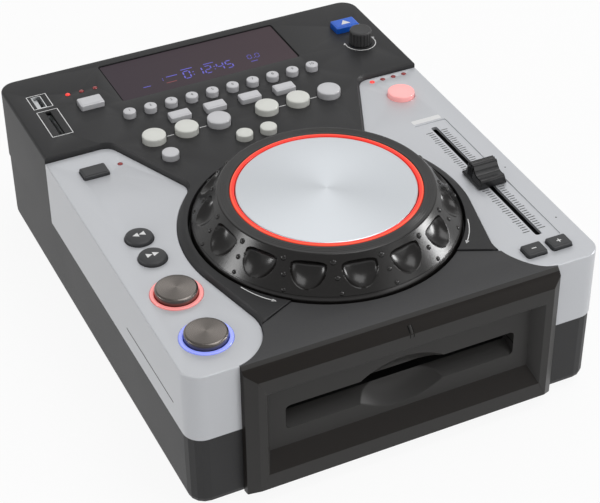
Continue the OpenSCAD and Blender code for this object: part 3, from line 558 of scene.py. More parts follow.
def from_group(name, group, values, depth):
    """A material whose colour, roughness and bump come from a node group; also its tree and shader."""
    material, tree, shader = new_material(name)
    node, bump = new_nodes(tree, "Group", "Bump")
    node.node_tree = group
    set_inputs(node, values)
    set_inputs(bump, {"Strength": 1.0, "Distance": depth})
    tree.links.new(node.outputs["Colour"], shader.inputs["Base Color"])
    tree.links.new(node.outputs["Roughness"], shader.inputs["Roughness"])
    tree.links.new(node.outputs["Height"], bump.inputs["Height"])
    tree.links.new(bump.outputs["Normal"], shader.inputs["Normal"])
    return material, tree, shader


def moulded(name, tint, roughness, grain, speckle, depth, metallic=0.0, coat=0.0, specular=0.5):
    """Moulded plastic, paint or rubber with a fine grain and handling marks."""
    if name in bpy.data.materials:
        return bpy.data.materials[name]
    values = {"Colour": (*tint, 1), "Grain per metre": grain, "Speckle": speckle, "Roughness": roughness}
    material, _, shader = from_group(name, grain_group(), values, depth)
    set_inputs(shader, {"Metallic": metallic, "Specular IOR Level": specular})
    set_inputs(shader, {"Coat Weight": coat, "Coat Roughness": 0.12})
    return material


def spun(name, tint, centre, roughness, rings, painted_sheen, anisotropy, bearing, lines):
    """Spun metal about an upright axle through a centre in plan, in millimetres."""
    if name in bpy.data.materials:
        return bpy.data.materials[name]
    # The painted sheen brightens the colour along the bearing and darkens it across, in place of a highlight
    values = {
        "Centre": (centre[0] * MM, centre[1] * MM, 0), "Colour": (*tint, 1), "Rings per metre": rings,
        "Roughness": roughness, "Painted sheen": painted_sheen, "Bearing": math.radians(bearing), "Lines": lines,
    }
    material, tree, shader = from_group(name, spun_group(), values, 4e-6)
    set_inputs(shader, {"Metallic": 1.0, "Anisotropic": anisotropy})
    tangent = tree.nodes.new("ShaderNodeTangent")
    tangent.direction_type = "RADIAL"
    tangent.axis = "Z"
    tree.links.new(tangent.outputs["Tangent"], shader.inputs["Tangent"])
    return material


def clouds(tree, where, scale):
    """Soft noise over a piece, fed from a coordinate node."""
    noise = tree.nodes.new("ShaderNodeTexNoise")
    set_inputs(noise, {"Scale": scale, "Detail": 2})
    tree.links.new(where.outputs["Object"], noise.inputs["Vector"])
    return noise


def lit(name, tint, glow, strength, roughness, cloud):
    """Translucent plastic lit from behind: its glow is uneven, brighter in soft clouds."""
    if name in bpy.data.materials:
        return bpy.data.materials[name]
    material, tree, shader = new_material(name)
    where, ramp = new_nodes(tree, "TexCoord", "ValToRGB")
    tree.links.new(clouds(tree, where, 60).outputs["Fac"], ramp.inputs["Fac"])
    dim, bright = ramp.color_ramp.elements
    dim.position, bright.position = 0.3, 0.7
    dim.color = (*(np.array(glow) * (1 - cloud)), 1)
    bright.color = (*glow, 1)
    tree.links.new(ramp.outputs["Color"], shader.inputs["Emission Color"])
    set_inputs(shader, {"Base Color": (*tint, 1), "Emission Strength": strength, "Roughness": roughness})
    set_inputs(shader, {"Coat Weight": 0.4, "Coat Roughness": 0.1})
    return material


def ring_light(glow, inner, outer):
    """The wheel's light ring: its own red glow with two bright lines painted in as highlights, the outer one
    nearer to orange, dimmer at both edges, and soft clouds along it.
    """
    material, tree, shader = new_material("ring_light")
    where, away, flat = new_nodes(tree, "TexCoord", "VectorMath", "VectorMath")
    radius, place_in, ramp = new_nodes(tree, "VectorMath", "MapRange", "ValToRGB")
    away.operation, flat.operation, radius.operation = "SUBTRACT", "MULTIPLY", "LENGTH"
    away.inputs[1].default_value = (JOG[0] * MM, JOG[1] * MM, 0)
    flat.inputs[1].default_value = (1, 1, 0)
    set_inputs(place_in, {"From Min": inner * MM, "From Max": outer * MM})
    tree.links.new(where.outputs["Object"], away.inputs[0])
    tree.links.new(away.outputs["Vector"], flat.inputs[0])
    tree.links.new(flat.outputs["Vector"], radius.inputs[0])
    tree.links.new(radius.outputs["Value"], place_in.inputs["Value"])
    tree.links.new(place_in.outputs["Result"], ramp.inputs["Fac"])
    base = np.array(glow)
    orange_highlight = base + (0.1, 0.1, 0.04)
    # The two bright stops are painted highlight lines on the ring's own glow; the dim stops at both ends make
    # it darker at its edges
    stops = ((0.0, base * 0.45), (0.3, base * 1.1), (0.5, base * 0.6), (0.75, orange_highlight), (1.0, base * 0.5))
    elements = ramp.color_ramp.elements
    for position, _ in stops[1:-1]:
        elements.new(position)
    for stop, (position, tint) in zip(elements, stops):
        stop.position = position
        stop.color = (*np.clip(tint, 0, 1), 1)
    noise = clouds(tree, where, 45)
    strength = math_node(tree, "ADD", math_node(tree, "MULTIPLY", noise.outputs["Fac"], 0.9), 0.55)
    tree.links.new(ramp.outputs["Color"], shader.inputs["Emission Color"])
    tree.links.new(strength, shader.inputs["Emission Strength"])
    set_inputs(shader, {"Base Color": (0.4, 0.02, 0.015, 1), "Roughness": 0.3, "Specular IOR Level": 0.3})
    return material


def smoked_window(tint):
    """Smoked window: dark, and more violet towards its left end."""
    material, tree, shader = new_material("smoked_window")
    where, parts, across, ramp = new_nodes(tree, "TexCoord", "SeparateXYZ", "MapRange", "ValToRGB")
    set_inputs(across, {"From Min": -0.055, "From Max": 0.057})
    tree.links.new(where.outputs["Object"], parts.inputs[0])
    tree.links.new(parts.outputs["X"], across.inputs["Value"])
    tree.links.new(across.outputs["Result"], ramp.inputs["Fac"])
    base = np.array(tint)
    left, right = ramp.color_ramp.elements
    left.color = (*(base * (0.5, 0.35, 0.6)), 1)
    right.color = (*base, 1)
    tree.links.new(ramp.outputs["Color"], shader.inputs["Base Color"])
    set_inputs(shader, {"Roughness": 0.28, "Specular IOR Level": 0.2})
    set_inputs(shader, {"Coat Weight": 0.1, "Coat Roughness": 0.08})
    return material


# Finishes that several pieces share: a colour or the name of its setting, then what moulded takes
SHARED = {
    # the deck and the tub
    "case_black": ("case", 0.5, 2400, 0.5, 6e-5, {"specular": 0.3}),
    # the front frame, and a darker black painted as shade on its bevels, outer sides and lower recess wall
    "bezel_black": ("bezel", 0.42, 3000, 0.1, 1.5e-5, {"specular": 0.22}),
    "bevel_shade_black": ("bevel", 0.35, 3000, 0.1, 1e-5, {"specular": 0.12}),
    "shelf_black": ("shelf", 0.5, 2400, 0.5, 6e-5, {"specular": 0.3}),
    # the cheeks' paint, with fine flakes
    "satin_silver": ("silver", 0.42, 5200, 0.07, 1e-5, {"metallic": 0.25, "coat": 0.3}),
    # the dark inside gaps, slots and wells, also painted as shade lines beside the front's tick
    "pit_black": ((0.004, 0.004, 0.004), 0.8, 1800, 0.2, 1e-5, {"specular": 0.1}),
    "white_print": ("print_white", 0.5, 6000, 0.08, 2e-6, {}),
    "black_print": ((0.02, 0.02, 0.022), 0.5, 6000, 0.1, 2e-6, {}),
    # plated sheet and machined steel
    "plated_steel": ((0.5, 0.5, 0.51), 0.32, 900, 0.12, 1e-5, {"metallic": 0.95}),
    # inner parts and sockets
    "black_plastic": ((0.02, 0.02, 0.021), 0.55, 1800, 0.2, 2e-5, {}),
}


def shared(name):
    """A finish that several pieces share."""
    tint, *values, more = SHARED[name]
    if isinstance(tint, str):
        tint = getattr(settings()[2], tint)
    return moulded(name, tint, *values, **more)


# ---- plan of the case ----


class Plan:
    """The curves of the case seen from above, for the right half.

    The cheek's edge runs straight from a shoulder to a neck, both rounded, then round the wheel at a
    constant distance and round a lobe at the front. Neck and lobe circles touch the circle round the wheel.
    """

    def __init__(self, case, wheel):
        self.gap = case.gap / MM
        self.corner = case.corner / MM
        self.well = JOG_R + wheel.well_gap / MM
        self.collar_r = self.well + 5.6
        self.lobe_r = case.lobe / MM
        self.lobe = place(SIDE - self.lobe_r + 1.5, self.lobe_r + 0.5)
        bend = case.bend / MM
        neck = place(case.neck_x / MM, case.neck_y / MM)
        slope = np.array([case.shoulder_x / MM, CHEEK_BACK]) - neck
        slope /= np.linalg.norm(slope)
        outwards = np.array([slope[1], -slope[0]])
        self.bend = bend
        self.slope_angle = math.degrees(math.atan2(slope[0], -slope[1]))
        self.shoulder = neck + bend * outwards
        self.shoulder = self.shoulder + slope * (CHEEK_BACK - bend - self.shoulder[1]) / slope[1]
        offset = neck + bend * outwards - JOG
        along = offset @ slope
        reach = math.sqrt(along**2 - offset @ offset + (self.collar_r + bend) ** 2) - along
        self.neck = JOG + offset + slope * reach
        self.neck_angle = angle_of(self.neck - JOG)
        away = self.lobe - JOG
        opening = math.acos((self.collar_r + self.lobe_r) / np.linalg.norm(away))
        self.lobe_angle = math.degrees(math.atan2(away[1], away[0]) + opening)
        self.bezel_x = BEZEL_HIGH[0]
        self.lobe_end = 180 + math.degrees(math.acos((self.lobe[0] - self.bezel_x) / self.lobe_r))
        self.seam_out = self.lobe + self.lobe_r * towards(190)
        self.seam_in = JOG + (self.well - 2) * towards(-50.6)
        self.seam = (self.seam_in - self.seam_out) / np.linalg.norm(self.seam_in - self.seam_out)
        self.seam_side = np.array([self.seam[1], -self.seam[0]])

    def seam_hit(self, centre, radius, shift, far):
        """Where the seam's line, moved by shift into the deck, meets a circle: its near or its far place."""
        start = self.seam_out + shift * self.seam_side - centre
        along = start @ self.seam
        root = math.sqrt(along**2 - start @ start + radius**2)
        return centre + start + self.seam * ((root if far else -root) - along)

    def edge(self, shift):
        """The edge between cheek and deck from the neck's rear to the lobe, moved into the deck by shift."""
        angles = (self.neck_angle, self.lobe_angle)
        return (
            arc(self.shoulder, self.bend + shift, 90, self.slope_angle, 10),
            arc(self.neck, self.bend + shift, self.slope_angle, self.neck_angle + 180, 10),
            arc(JOG, self.collar_r - shift, *angles, 72)[1:-1],
        )


def joined(parts):
    """Joins stretches of an outline, (points, width, height, straight, foot), without repeated points."""
    ring = np.concatenate([p[0] for p in parts])

    def all_of(column):
        return np.concatenate([np.broadcast_to(np.asarray(p[column], float), len(p[0])) for p in parts])

    values = [all_of(column) for column in range(1, 5)]
    keep = np.linalg.norm(ring - np.roll(ring, 1, axis=0), axis=1) > 1e-4
    return ring[keep], [v[keep] for v in values]


def mirrored_part(part):
    """The same stretch on the left side, in the opposite order."""
    points, *values = part
    flipped = [v[::-1] if np.ndim(v) else v for v in values]
    return (points[::-1] * (-1, 1), *flipped)


# How far a key's hidden flange stands out beyond its cap all round
FLANGE = 0.9


def key_ring(name, gap=0, steps=40):
    """A key's outline above its flange, or with a gap the outline of its hole."""
    low, high = span(name)
    size = (high - low)[:2] - 2 * FLANGE + 2 * gap
    centre = ((low + high) / 2)[:2]
    if name in SQUARE_KEYS:
        return rounded(centre, size, 1 + gap)
    return circle(centre, size[0] / 2, steps)


def key_holes(names):
    """The rings of the holes for some keys."""
    return [key_ring(name, 0.3, 48) for name in names]


NUMBER_KEYS = [f"number_button_{i}" for i in range(1, 11)]
STRIP_KEYS = [f"strip_button_{i}" for i in range(1, 5)]
LOOP_KEYS = [f"loop_button_{i}" for i in range(1, 7)]
ROUND_KEYS = ["tap_button", "reverse_button", "relay_button"]
DECK_KEYS = [*NUMBER_KEYS, *STRIP_KEYS, *LOOP_KEYS, *ROUND_KEYS, "time_button", "eject_button"]
SEARCH_KEYS = ["search_back_button", "search_forward_button"]
BEND_KEYS = ["bend_down_button", "bend_up_button"]
METAL_KEYS = ["play_button", "cue_button"]
SQUARE_KEYS = {*STRIP_KEYS, *BEND_KEYS, "time_button", "eject_button", "shift_button"}

# Lamp places in plan: on the deck, on the left cheek and on the right
DECK_LAMPS = [place(x, 248) for x in (-78, -70, -62)]
LEFT_LAMP = place(-CHEEK_X + 15, 175.7)
RIGHT_LAMPS = [place(CHEEK_X + 1.4 + 6.65 * i, 189.3) for i in (-1.5, -0.5, 0.5, 1.5)]
LAMP_R = 1.35
LAMP_GAP = 0.1
RING_OUT = 12.9
USB = place(-SIDE + 15.5, 247.7)
CARD = place(-SIDE + 16.5, 223.8)
DISPLAY = middle("display_window")[:2]
DISPLAY_SIZE = (108, 40.5)
DISPLAY_CORNER = 1.5
KNOB = middle("select_knob")[:2]
FADER = np.array([CHEEK_X, FRONT + 80.2])
# Radius of the hole for the wheel's axle in the floor of its well
AXLE_HOLE = 7
# Where the front's tick stands, from the middle
TICK_X = 0.6
# How far a print lies above its surface
PRINT = 0.03


# ---- case ----


class PLAYER_OT_console(bpy.types.Operator):
    """Builds the deck with its sloping edges, the collar round the wheel and the case's upper walls"""

    bl_idname = "player.console"
    bl_label = "Console"

    def execute(self, context):
        case, wheel, _, _ = settings()
        plan = Plan(case, wheel)
        rise = DECK_TOP - CHEEK_TOP
        gap, slope, edge = plan.gap, case.deck_edge / MM, case.edge / MM
        shallow, well_floor = CHEEK_TOP - 3.2, CHEEK_TOP - 4.05
        shoulder, neck, collar = plan.edge(gap)
        turn = np.degrees(np.arctan2(*(collar - JOG).T[::-1]))
        blend, straight, soft = 16, 0.6, 0.35
        wide = smooth((plan.neck_angle - turn) / blend) * smooth((turn - plan.lobe_angle) / blend)
        lobe_start = plan.lobe_angle + 180
        hit = plan.seam_hit(plan.lobe, plan.lobe_r + gap, gap, True)
        stop = angle_of(plan.lobe - hit) + 180
        lobe = arc(plan.lobe, plan.lobe_r + gap, lobe_start, stop, 14)
        inner = plan.seam_hit(JOG, plan.well, gap, False)
        seam = np.linspace(hit, inner, 6)[1:]
        front_side = [
            (seam[::-1], soft, soft, 0, shallow),
            (lobe[::-1], slope, rise, straight, shallow),
            (collar[::-1], slope + (case.collar / MM - slope) * wide[::-1], rise, straight, shallow),
            (neck[::-1], slope, rise, straight, shallow),
            (shoulder[::-1], slope, rise, straight, shallow),
        ]
        rear = place(SIDE - plan.corner, BACK - FRONT - plan.corner)
        right = [
            *front_side,
            (np.array([[SIDE, CHEEK_BACK + gap]]), edge, edge, 0, SEAM),
            (arc(rear, plan.corner, 0, 90, 12), edge, edge, 0, SEAM),
        ]
        start, end = inner, inner * (-1, 1)
        angles = [angle_of(p - JOG) for p in (end, start)]
        well = (arc(JOG, plan.well, angles[0] % 360, angles[1], 160)[1:-1], soft, soft, 0, well_floor)
        left = [mirrored_part(p) for p in right[::-1]]
        ring, rim = joined([*right, *left, well])
        holes = key_holes(DECK_KEYS)
        holes += [circle(c, LAMP_R + LAMP_GAP, 20) for c in DECK_LAMPS]
        knob_hole = 5.5
        holes += [circle(KNOB, knob_hole)]
        holes += [rounded(USB, (6, 13), 0.5), rounded(CARD, (3, 24.6), 0.5)]
        holes += [rounded(DISPLAY, DISPLAY_SIZE, DISPLAY_CORNER)]
        shape = Shape()
        plate(shape, ring, DECK_TOP, rim, holes, thickness=1.6)
        under = well_floor - 2.5
        floor = [(AXLE_HOLE, well_floor), (AXLE_HOLE, under), (plan.well, under), (plan.well, well_floor)]
        shape.turned(JOG, floor, steps=96)
        shape.add(*flat_ring(JOG, AXLE_HOLE, plan.well, well_floor, 96))
        shape.piece("console", "housing", [shared("case_black")], ["upper_case"])
        return {"FINISHED"}


def flat_ring(centre, inner, outer, level, steps):
    """The points and upward faces of a flat ring."""
    grid = np.stack([lifted(circle(centre, r, steps), level) for r in (outer, inner)])
    return grid, quads(2, steps, False, True)


def cheek_outline(plan, case):
    """The right cheek's ring and rim: outer sides go down to the seam, the edge to the deck is shallow."""
    shoulder, neck, collar = plan.edge(0)
    outer, small = case.cheek_edge / MM, 0.45
    lobe = arc(plan.lobe, plan.lobe_r, plan.lobe_angle + 180, plan.lobe_end, 24)
    corner = arc((SIDE - plan.corner, FRONT + plan.corner), plan.corner, -90, 0, 12)
    shallow = CHEEK_TOP - 2.35
    return joined([
        (np.array([[plan.bezel_x, FRONT]]), outer, outer, 0, SEAM),
        (corner, outer, outer, 0, SEAM),
        (np.array([[SIDE, CHEEK_BACK]]), outer, outer, 0, SEAM),
        (shoulder, small, small, 0, shallow),
        (neck, small, small, 0, shallow),
        (collar, small, small, 0, shallow),
        (lobe[:-1], small, small, 0, shallow),
        (lobe[-1:], small, small, 0, SEAM),
    ])


class PLAYER_OT_cheeks(bpy.types.Operator):
    """Builds the two silver cheeks with their key holes, the slider's slot and its shallow tray"""

    bl_idname = "player.cheeks"
    bl_label = "Cheeks"

    def execute(self, context):
        case, wheel, _, _ = settings()
        ring, rim = cheek_outline(Plan(case, wheel), case)
        holes = key_holes(["lamp_button", *BEND_KEYS])
        holes += [circle(c, LAMP_R + LAMP_GAP, 20) for c in RIGHT_LAMPS]
        tray = (rounded(FADER, (19, 117), 1), 0.5, rounded(FADER, (3.6, 108), 1.2))
        shape = Shape()
        plate(shape, ring, CHEEK_TOP, rim, holes, [tray], chamfer=0.2)
        shape.piece("cheek_right", "housing", [shared("satin_silver")], ["right_cheek"])
        left_ring = ring[::-1] * (-1, 1)
        holes = key_holes([*SEARCH_KEYS, "shift_button"]) + [circle(LEFT_LAMP, LAMP_R + LAMP_GAP, 20)]
        holes += [circle(middle(name)[:2], RING_OUT + 0.15, 72) for name in METAL_KEYS]
        shape = Shape()
        plate(shape, left_ring, CHEEK_TOP, [v[::-1] for v in rim], holes, chamfer=0.2)
        shape.piece("cheek_left", "housing", [shared("satin_silver")], ["left_cheek"])
        return {"FINISHED"}


class PLAYER_OT_bezel(bpy.types.Operator):
    """Builds the front frame with its recess, the disc slot with its scoop and the shelf behind it"""

    bl_idname = "player.bezel"
    bl_label = "Front frame"

    def execute(self, context):
        case, wheel, _, _ = settings()
        plan = Plan(case, wheel)
        x, top = BEZEL_HIGH[0], CHEEK_TOP - 0.4
        low, depth = BEZEL_LOW[2], FRONT - BEZEL_LOW[1]
        shape = Shape()
        front_frame(shape, frame_rings(x, low, top, depth))
        front_pan(shape, x - 13.6, low + 20.8, top - 18.9)
        # The third finish is the darker black painted as shade on the frame's bevels and sides
        finishes = [shared("bezel_black"), shared("pit_black"), shared("bevel_shade_black")]
        shape.piece("front_frame", "housing", finishes, ["front_bezel"], moved=towards_front)
        shape = Shape()
        shelf(shape, plan, top)
        front_tick(shape, FRONT - depth, depth, top)
        finishes = [shared("shelf_black"), shared("bezel_black"), shared("pit_black")]
        shape.piece("front_shelf", "housing", finishes)
        return {"FINISHED"}


def front_tick(shape, face, depth, top):
    """The raised tick with painted shade lines along its edges: a bar over the frame's top bevel and a flat
    foot on its face.
    """
    start, end, side = -0.8, 0.6, 0.5
    down = [(face + depth * 0.46, top - 3.6), (face + depth * 0.3, top - 4.6), (face + 0.75, top - 6.1)]
    path = np.array([*down, (face + 0.65, top - 7.2)])
    bar = softened([(start, 0), (-0.5, 0.55), (0.3, 0.55), (end, 0)], 0.2)
    shape.add(*ridge(bar, path), 1)
    # Thin near-black strips beside the bar and the foot are painted shade lines
    for edge in (start - side, end):
        shape.add(*ridge(np.array([(edge, 0.06), (edge + side, 0.06)]), path), 2)
    foot = np.array([(face - 0.02, top - 6.8), (face - 0.02, top - 8.8)])
    for first, last, finish in ((start - side, start, 2), (start, end, 1), (end, end + side, 2)):
        shape.add(*ridge(np.array([(first, 0), (last, 0)]), foot), finish)


def frame_rings(x, low, top, depth):
    """The frame's rings as it lies on its back, (x, z) in plan and -y up: walls, bevels, face, recess."""
    def rect(half, bottom, high, level, radius):
        centre = (0, (bottom + high) / 2)
        return lifted(rounded(centre, (2 * half, high - bottom), radius), level)

    base = -FRONT
    return [
        rect(x, low, top, base - 0.15, 0.3),
        rect(x, low, top, base, 0.3),
        rect(x - 0.1, low + 0.2, top - 1.4, base + depth * 0.24, 0.3),
        rect(x - 0.3, low + 0.4, top - 3, base + depth * 0.5 - 0.3, 0.3),
        rect(x - 0.6, low + 0.6, top - 3.4, base + depth * 0.5, 0.3),
        rect(x - 5.3, low + 3.2, top - 6.5, base + depth - 0.25, 0.4),
        rect(x - 5.6, low + 3.4, top - 6.8, base + depth, 0.4),
        rect(x - 9.7, low + 12.5, top - 15.0, base + depth, 0.6),
        rect(x - 10.1, low + 12.9, top - 15.4, base + depth - 0.3, 0.6),
        rect(x - 13.4, low + 20.5, top - 18.7, base + 0.25, 0.6),
        rect(x - 13.6, low + 20.8, top - 18.9, base, 0.6),
    ]


def front_frame(shape, rings):
    """Adds the frame's rings in two blacks: top bevel, outer sides and lower recess wall get the darker one,
    painted shade.

    Each ring has six points round each corner: bottom right, top right, top left, bottom left.
    """
    grid = np.stack(rings)
    bands, around = len(rings) - 1, grid.shape[1]
    faces = quads(len(rings), around, False, True)
    # dark marks the bands painted darker as shade: top bevel, outer sides and lower recess wall
    dark = np.zeros((bands, around), bool)
    dark[2:6, 9:15] = True
    dark[:3, 3:9] = dark[:3, 15:21] = True
    dark[7:, 21:] = dark[7:, :3] = True
    dark = dark.reshape(-1)
    shape.add(grid, faces[~dark], 0)
    shape.add(grid, faces[dark], 2)


def slot_end(height, half, radius):
    """How far a slot's end, with rounded corners, lies short of its tip at a height from its middle."""
    rounding = np.clip(np.abs(height) - (half - radius), 0, radius)
    return radius - np.sqrt(radius**2 - rounding**2)


def front_pan(shape, half, bottom, high):
    """The recess's floor, with the disc slot's sloping lips and the finger scoop pressed into it.

    The floor goes in by the deeper of two forms. The lips slope evenly to the slot. The scoop is a lens
    between two arcs: it goes in by a quarter sine of the distance from its arc. Inside the slot it drops far
    in. Near their ends the lips are pulled in to round corners.
    """
    slot_x, slot_half, lip_half, lip_deep, slot_deep = 62.0, 2.5, 7.2, 8.0, 30.0
    scoop_x, scoop_half = 30.0, 14.5
    arc_r = (scoop_x**2 + scoop_half**2) / (2 * scoop_half)
    tiny = 0.02
    ends = np.linspace(slot_x - 3.5, slot_x - 0.4, 14)
    outer = np.unique(np.concatenate([np.linspace(-half, half, 261), -ends, ends]))
    outer = outer[np.abs(np.abs(outer) - slot_x) > 0.3]
    across = np.sort(np.concatenate([outer, [-slot_x - tiny, -slot_x, slot_x, slot_x + tiny]]))
    lines = np.linspace(bottom, high, 105) - SLOT_Z
    lines = lines[(np.abs(np.abs(lines) - slot_half) > 0.15) & (np.abs(np.abs(lines) - lip_half) > 0.15)]
    extra = [s * v for s in (-1, 1) for v in (slot_half - tiny, slot_half, lip_half)]
    up = np.sort(np.concatenate([lines, extra]))
    u, v = np.meshgrid(across, up)
    within = np.abs(u) <= slot_x
    lips = within * np.clip((lip_half - np.abs(v)) / (lip_half - slot_half), 0, 1) * lip_deep
    chord = np.sqrt(np.clip(arc_r**2 - u**2, 0, None)) - arc_r + scoop_half - np.abs(v)
    scoop = lip_deep * np.sin(np.clip(chord / (scoop_half - slot_half), 0, 1) * math.pi / 2)
    sunk = np.maximum(lips, scoop)
    mouth = np.abs(u) <= slot_x - slot_end(np.clip(v, -slot_half, slot_half), slot_half, 2.2)
    sunk = np.where((np.abs(v) < slot_half) & mouth, slot_deep, sunk)
    pull = slot_end(np.clip(v, -lip_half, lip_half), lip_half, 2.4)
    pull = pull * np.clip(1 - (np.abs(v) - lip_half) / 4, 0, 1)
    pull = pull * np.clip(1 - np.abs(np.abs(u) - slot_x) / 5, 0, 1)
    grid = np.stack([u - np.sign(u) * pull, v + SLOT_Z, -FRONT - sunk], axis=-1)
    faces = quads(len(up), len(across))
    deep = sunk.reshape(-1)[faces].max(axis=1) > slot_deep - 1
    points = grid.reshape(-1, 3)
    shape.add(points, faces[~deep], 0)
    shape.add(points, faces[deep], 1)


def shelf(shape, plan, top):
    """The shelf in front of the wheel: it runs back to the wheel's well, the seam or the lobe, as x says.

    Its level rises from the frame's top at the front edge to 2.2 above the cheeks at 14 from the front.
    """
    limit = plan.bezel_x - 0.02
    hit = plan.seam_hit(plan.lobe, plan.lobe_r + plan.gap, -plan.gap, True)
    inner = plan.seam_hit(JOG, plan.well, -plan.gap, False)
    stretches = ((0, inner[0], 60), (inner[0], hit[0], 16), (hit[0], limit, 40))
    xs = np.unique(np.concatenate([np.linspace(*stretch) for stretch in stretches]))
    xs = np.concatenate([-xs[:0:-1], xs])
    x = np.abs(xs)
    well = JOG[1] - np.sqrt(np.clip(plan.well**2 - x**2, 0, None))
    seam = hit[1] + (x - hit[0]) * (inner[1] - hit[1]) / (inner[0] - hit[0])
    radius = plan.lobe_r + plan.gap
    lobe = plan.lobe[1] - np.sqrt(np.clip(radius**2 - (x - plan.lobe[0]) ** 2, 0, None))
    end = np.where(x < inner[0], well, np.where(x < hit[0], seam, lobe)) - FRONT
    t = np.linspace(0, 1, 36)[:, None]
    y = t * (end - 0.35)
    across = np.broadcast_to(xs, y.shape)
    level = top + (CHEEK_TOP + 2.2 - top) * np.sin(np.clip(y / 14, 0, 1) * math.pi / 2) ** 0.9
    grid = [np.stack([across, FRONT + y, level], axis=-1)]
    last = grid[0][-1]
    for out, drop in ((0.23, 0.1), (0.35, 0.35), (0.35, 4.5)):
        grid.append((last + np.array([0, out, -drop]))[None])
    points = np.concatenate(grid)
    shape.add(points, quads(*points.shape[:2]), 0)


def ridge(section, path):
    """A small raised bar: a section of (across, out) carried down a path of (y, z), out along its normal."""
    along = np.gradient(path, axis=0)
    along /= np.linalg.norm(along, axis=1, keepdims=True)
    out = np.column_stack([along[:, 1], -along[:, 0]])
    x = np.broadcast_to(section[:, 0] + TICK_X, (len(path), len(section)))
    yz = path[:, None] + out[:, None] * section[None, :, 1:]
    grid = np.concatenate([x[..., None], yz], axis=-1)
    return grid, quads(len(path), len(section))


class PLAYER_OT_tub(bpy.types.Operator):
    """Gives the tub, feet and screws their finishes, and lays the dark line on the left cheek's side"""

    bl_idname = "player.tub"
    bl_label = "Tub and feet"

    def execute(self, context):
        rubber = moulded("foot_rubber", (0.012, 0.012, 0.012), 0.85, 1500, 0.3, 6e-5, specular=0.3)
        paint("lower_case", shared("case_black"))
        paint("feet", rubber)
        paint("case_screws", shared("plated_steel"))
        shape = Shape()
        low, high = FRONT + 19, FRONT + 79
        level, half = CHEEK_TOP - 27, 0.45
        out = -SIDE - 0.02
        around = ((high, -half), (low, -half), (low, half), (high, half))
        corners = [(out, y, level + z) for y, z in around]
        shape.add(corners, [[0, 1, 2, 3]], flat=True)
        shape.piece("side_line", "housing", [shared("black_print")])
        return {"FINISHED"}


def paint(node, material):
    """Gives a CAD node one finish."""
    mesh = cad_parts[node].data
    mesh.materials.clear()
    mesh.materials.append(material)


# ---- jog wheel ----


class PLAYER_OT_wheel(bpy.types.Operator):
    """Builds the jog wheel: rim with finger dimples and nubs, light ring and spun plate"""

    bl_idname = "player.wheel"
    bl_label = "Jog wheel"

    def execute(self, context):
        _, wheel, tints, _ = settings()
        plate_r, glow_r = wheel.plate / MM, (wheel.plate + wheel.glow) / MM
        black = moulded("wheel_black", tints.wheel, 0.24, 2200, 0.2, 1e-5, specular=0.42)
        shape = Shape()
        shape.add(*rim_surface(wheel, glow_r))
        rim_nubs(shape, wheel)
        shape.piece("wheel_rim", "jog_wheel", [black], ["jog_rim"], crease=40)
        seat, top = span("jog_plate")[0][2], JOG_TOP - 0.35
        shape = Shape()
        high, inner = JOG_TOP - 0.02, plate_r + 0.1
        crown = softened([(glow_r - 0.05, seat), (glow_r - 0.05, high), (inner, high), (inner, seat)], 0.8, 8)
        shape.turned(JOG, [*crown, crown[0]], steps=144)
        red = ring_light(tints.red_light, plate_r, glow_r)
        shape.piece("wheel_light", "jog_wheel", [red], ["jog_glow_ring"])
        shape = Shape()
        edge = plate_r - 0.25
        side = softened([(edge, seat), (edge, top - 0.3), (edge - 0.4, top), (edge * 0.5, top)], 0.2)
        profile = [(0, seat), *side]
        shape.turned(JOG, [*profile, (0, top)], steps=144)
        # 0.08 is the plate's painted sheen, brightest along bearing 65
        metal = spun("spun_plate", tints.metal, JOG, 0.34, 2600, 0.08, 0.5, bearing=65, lines=0.07)
        shape.piece("wheel_plate", "jog_wheel", [metal], ["jog_plate"], crease=20)
        paint("jog_shaft", shared("plated_steel"))
        return {"FINISHED"}


def flank_ends():
    """Lower and upper end of the rim's sloping flank, as (radius, level)."""
    return np.array([JOG_R - 0.6, CHEEK_TOP + 4]), np.array([54.7, FLAT - 0.35])


def grooved(first, last, count, width, depth):
    """A level line in profile, from one radius inwards to another, with evenly spread small grooves."""
    radii = np.linspace(first, last, count + 2)[1:-1]
    steps = ((0.5, 0), (0.3, depth), (-0.3, depth), (-0.5, 0))
    return [(first, FLAT)] + [(r + s * width, FLAT - d) for r in radii for s, d in steps] + [(last, FLAT)]


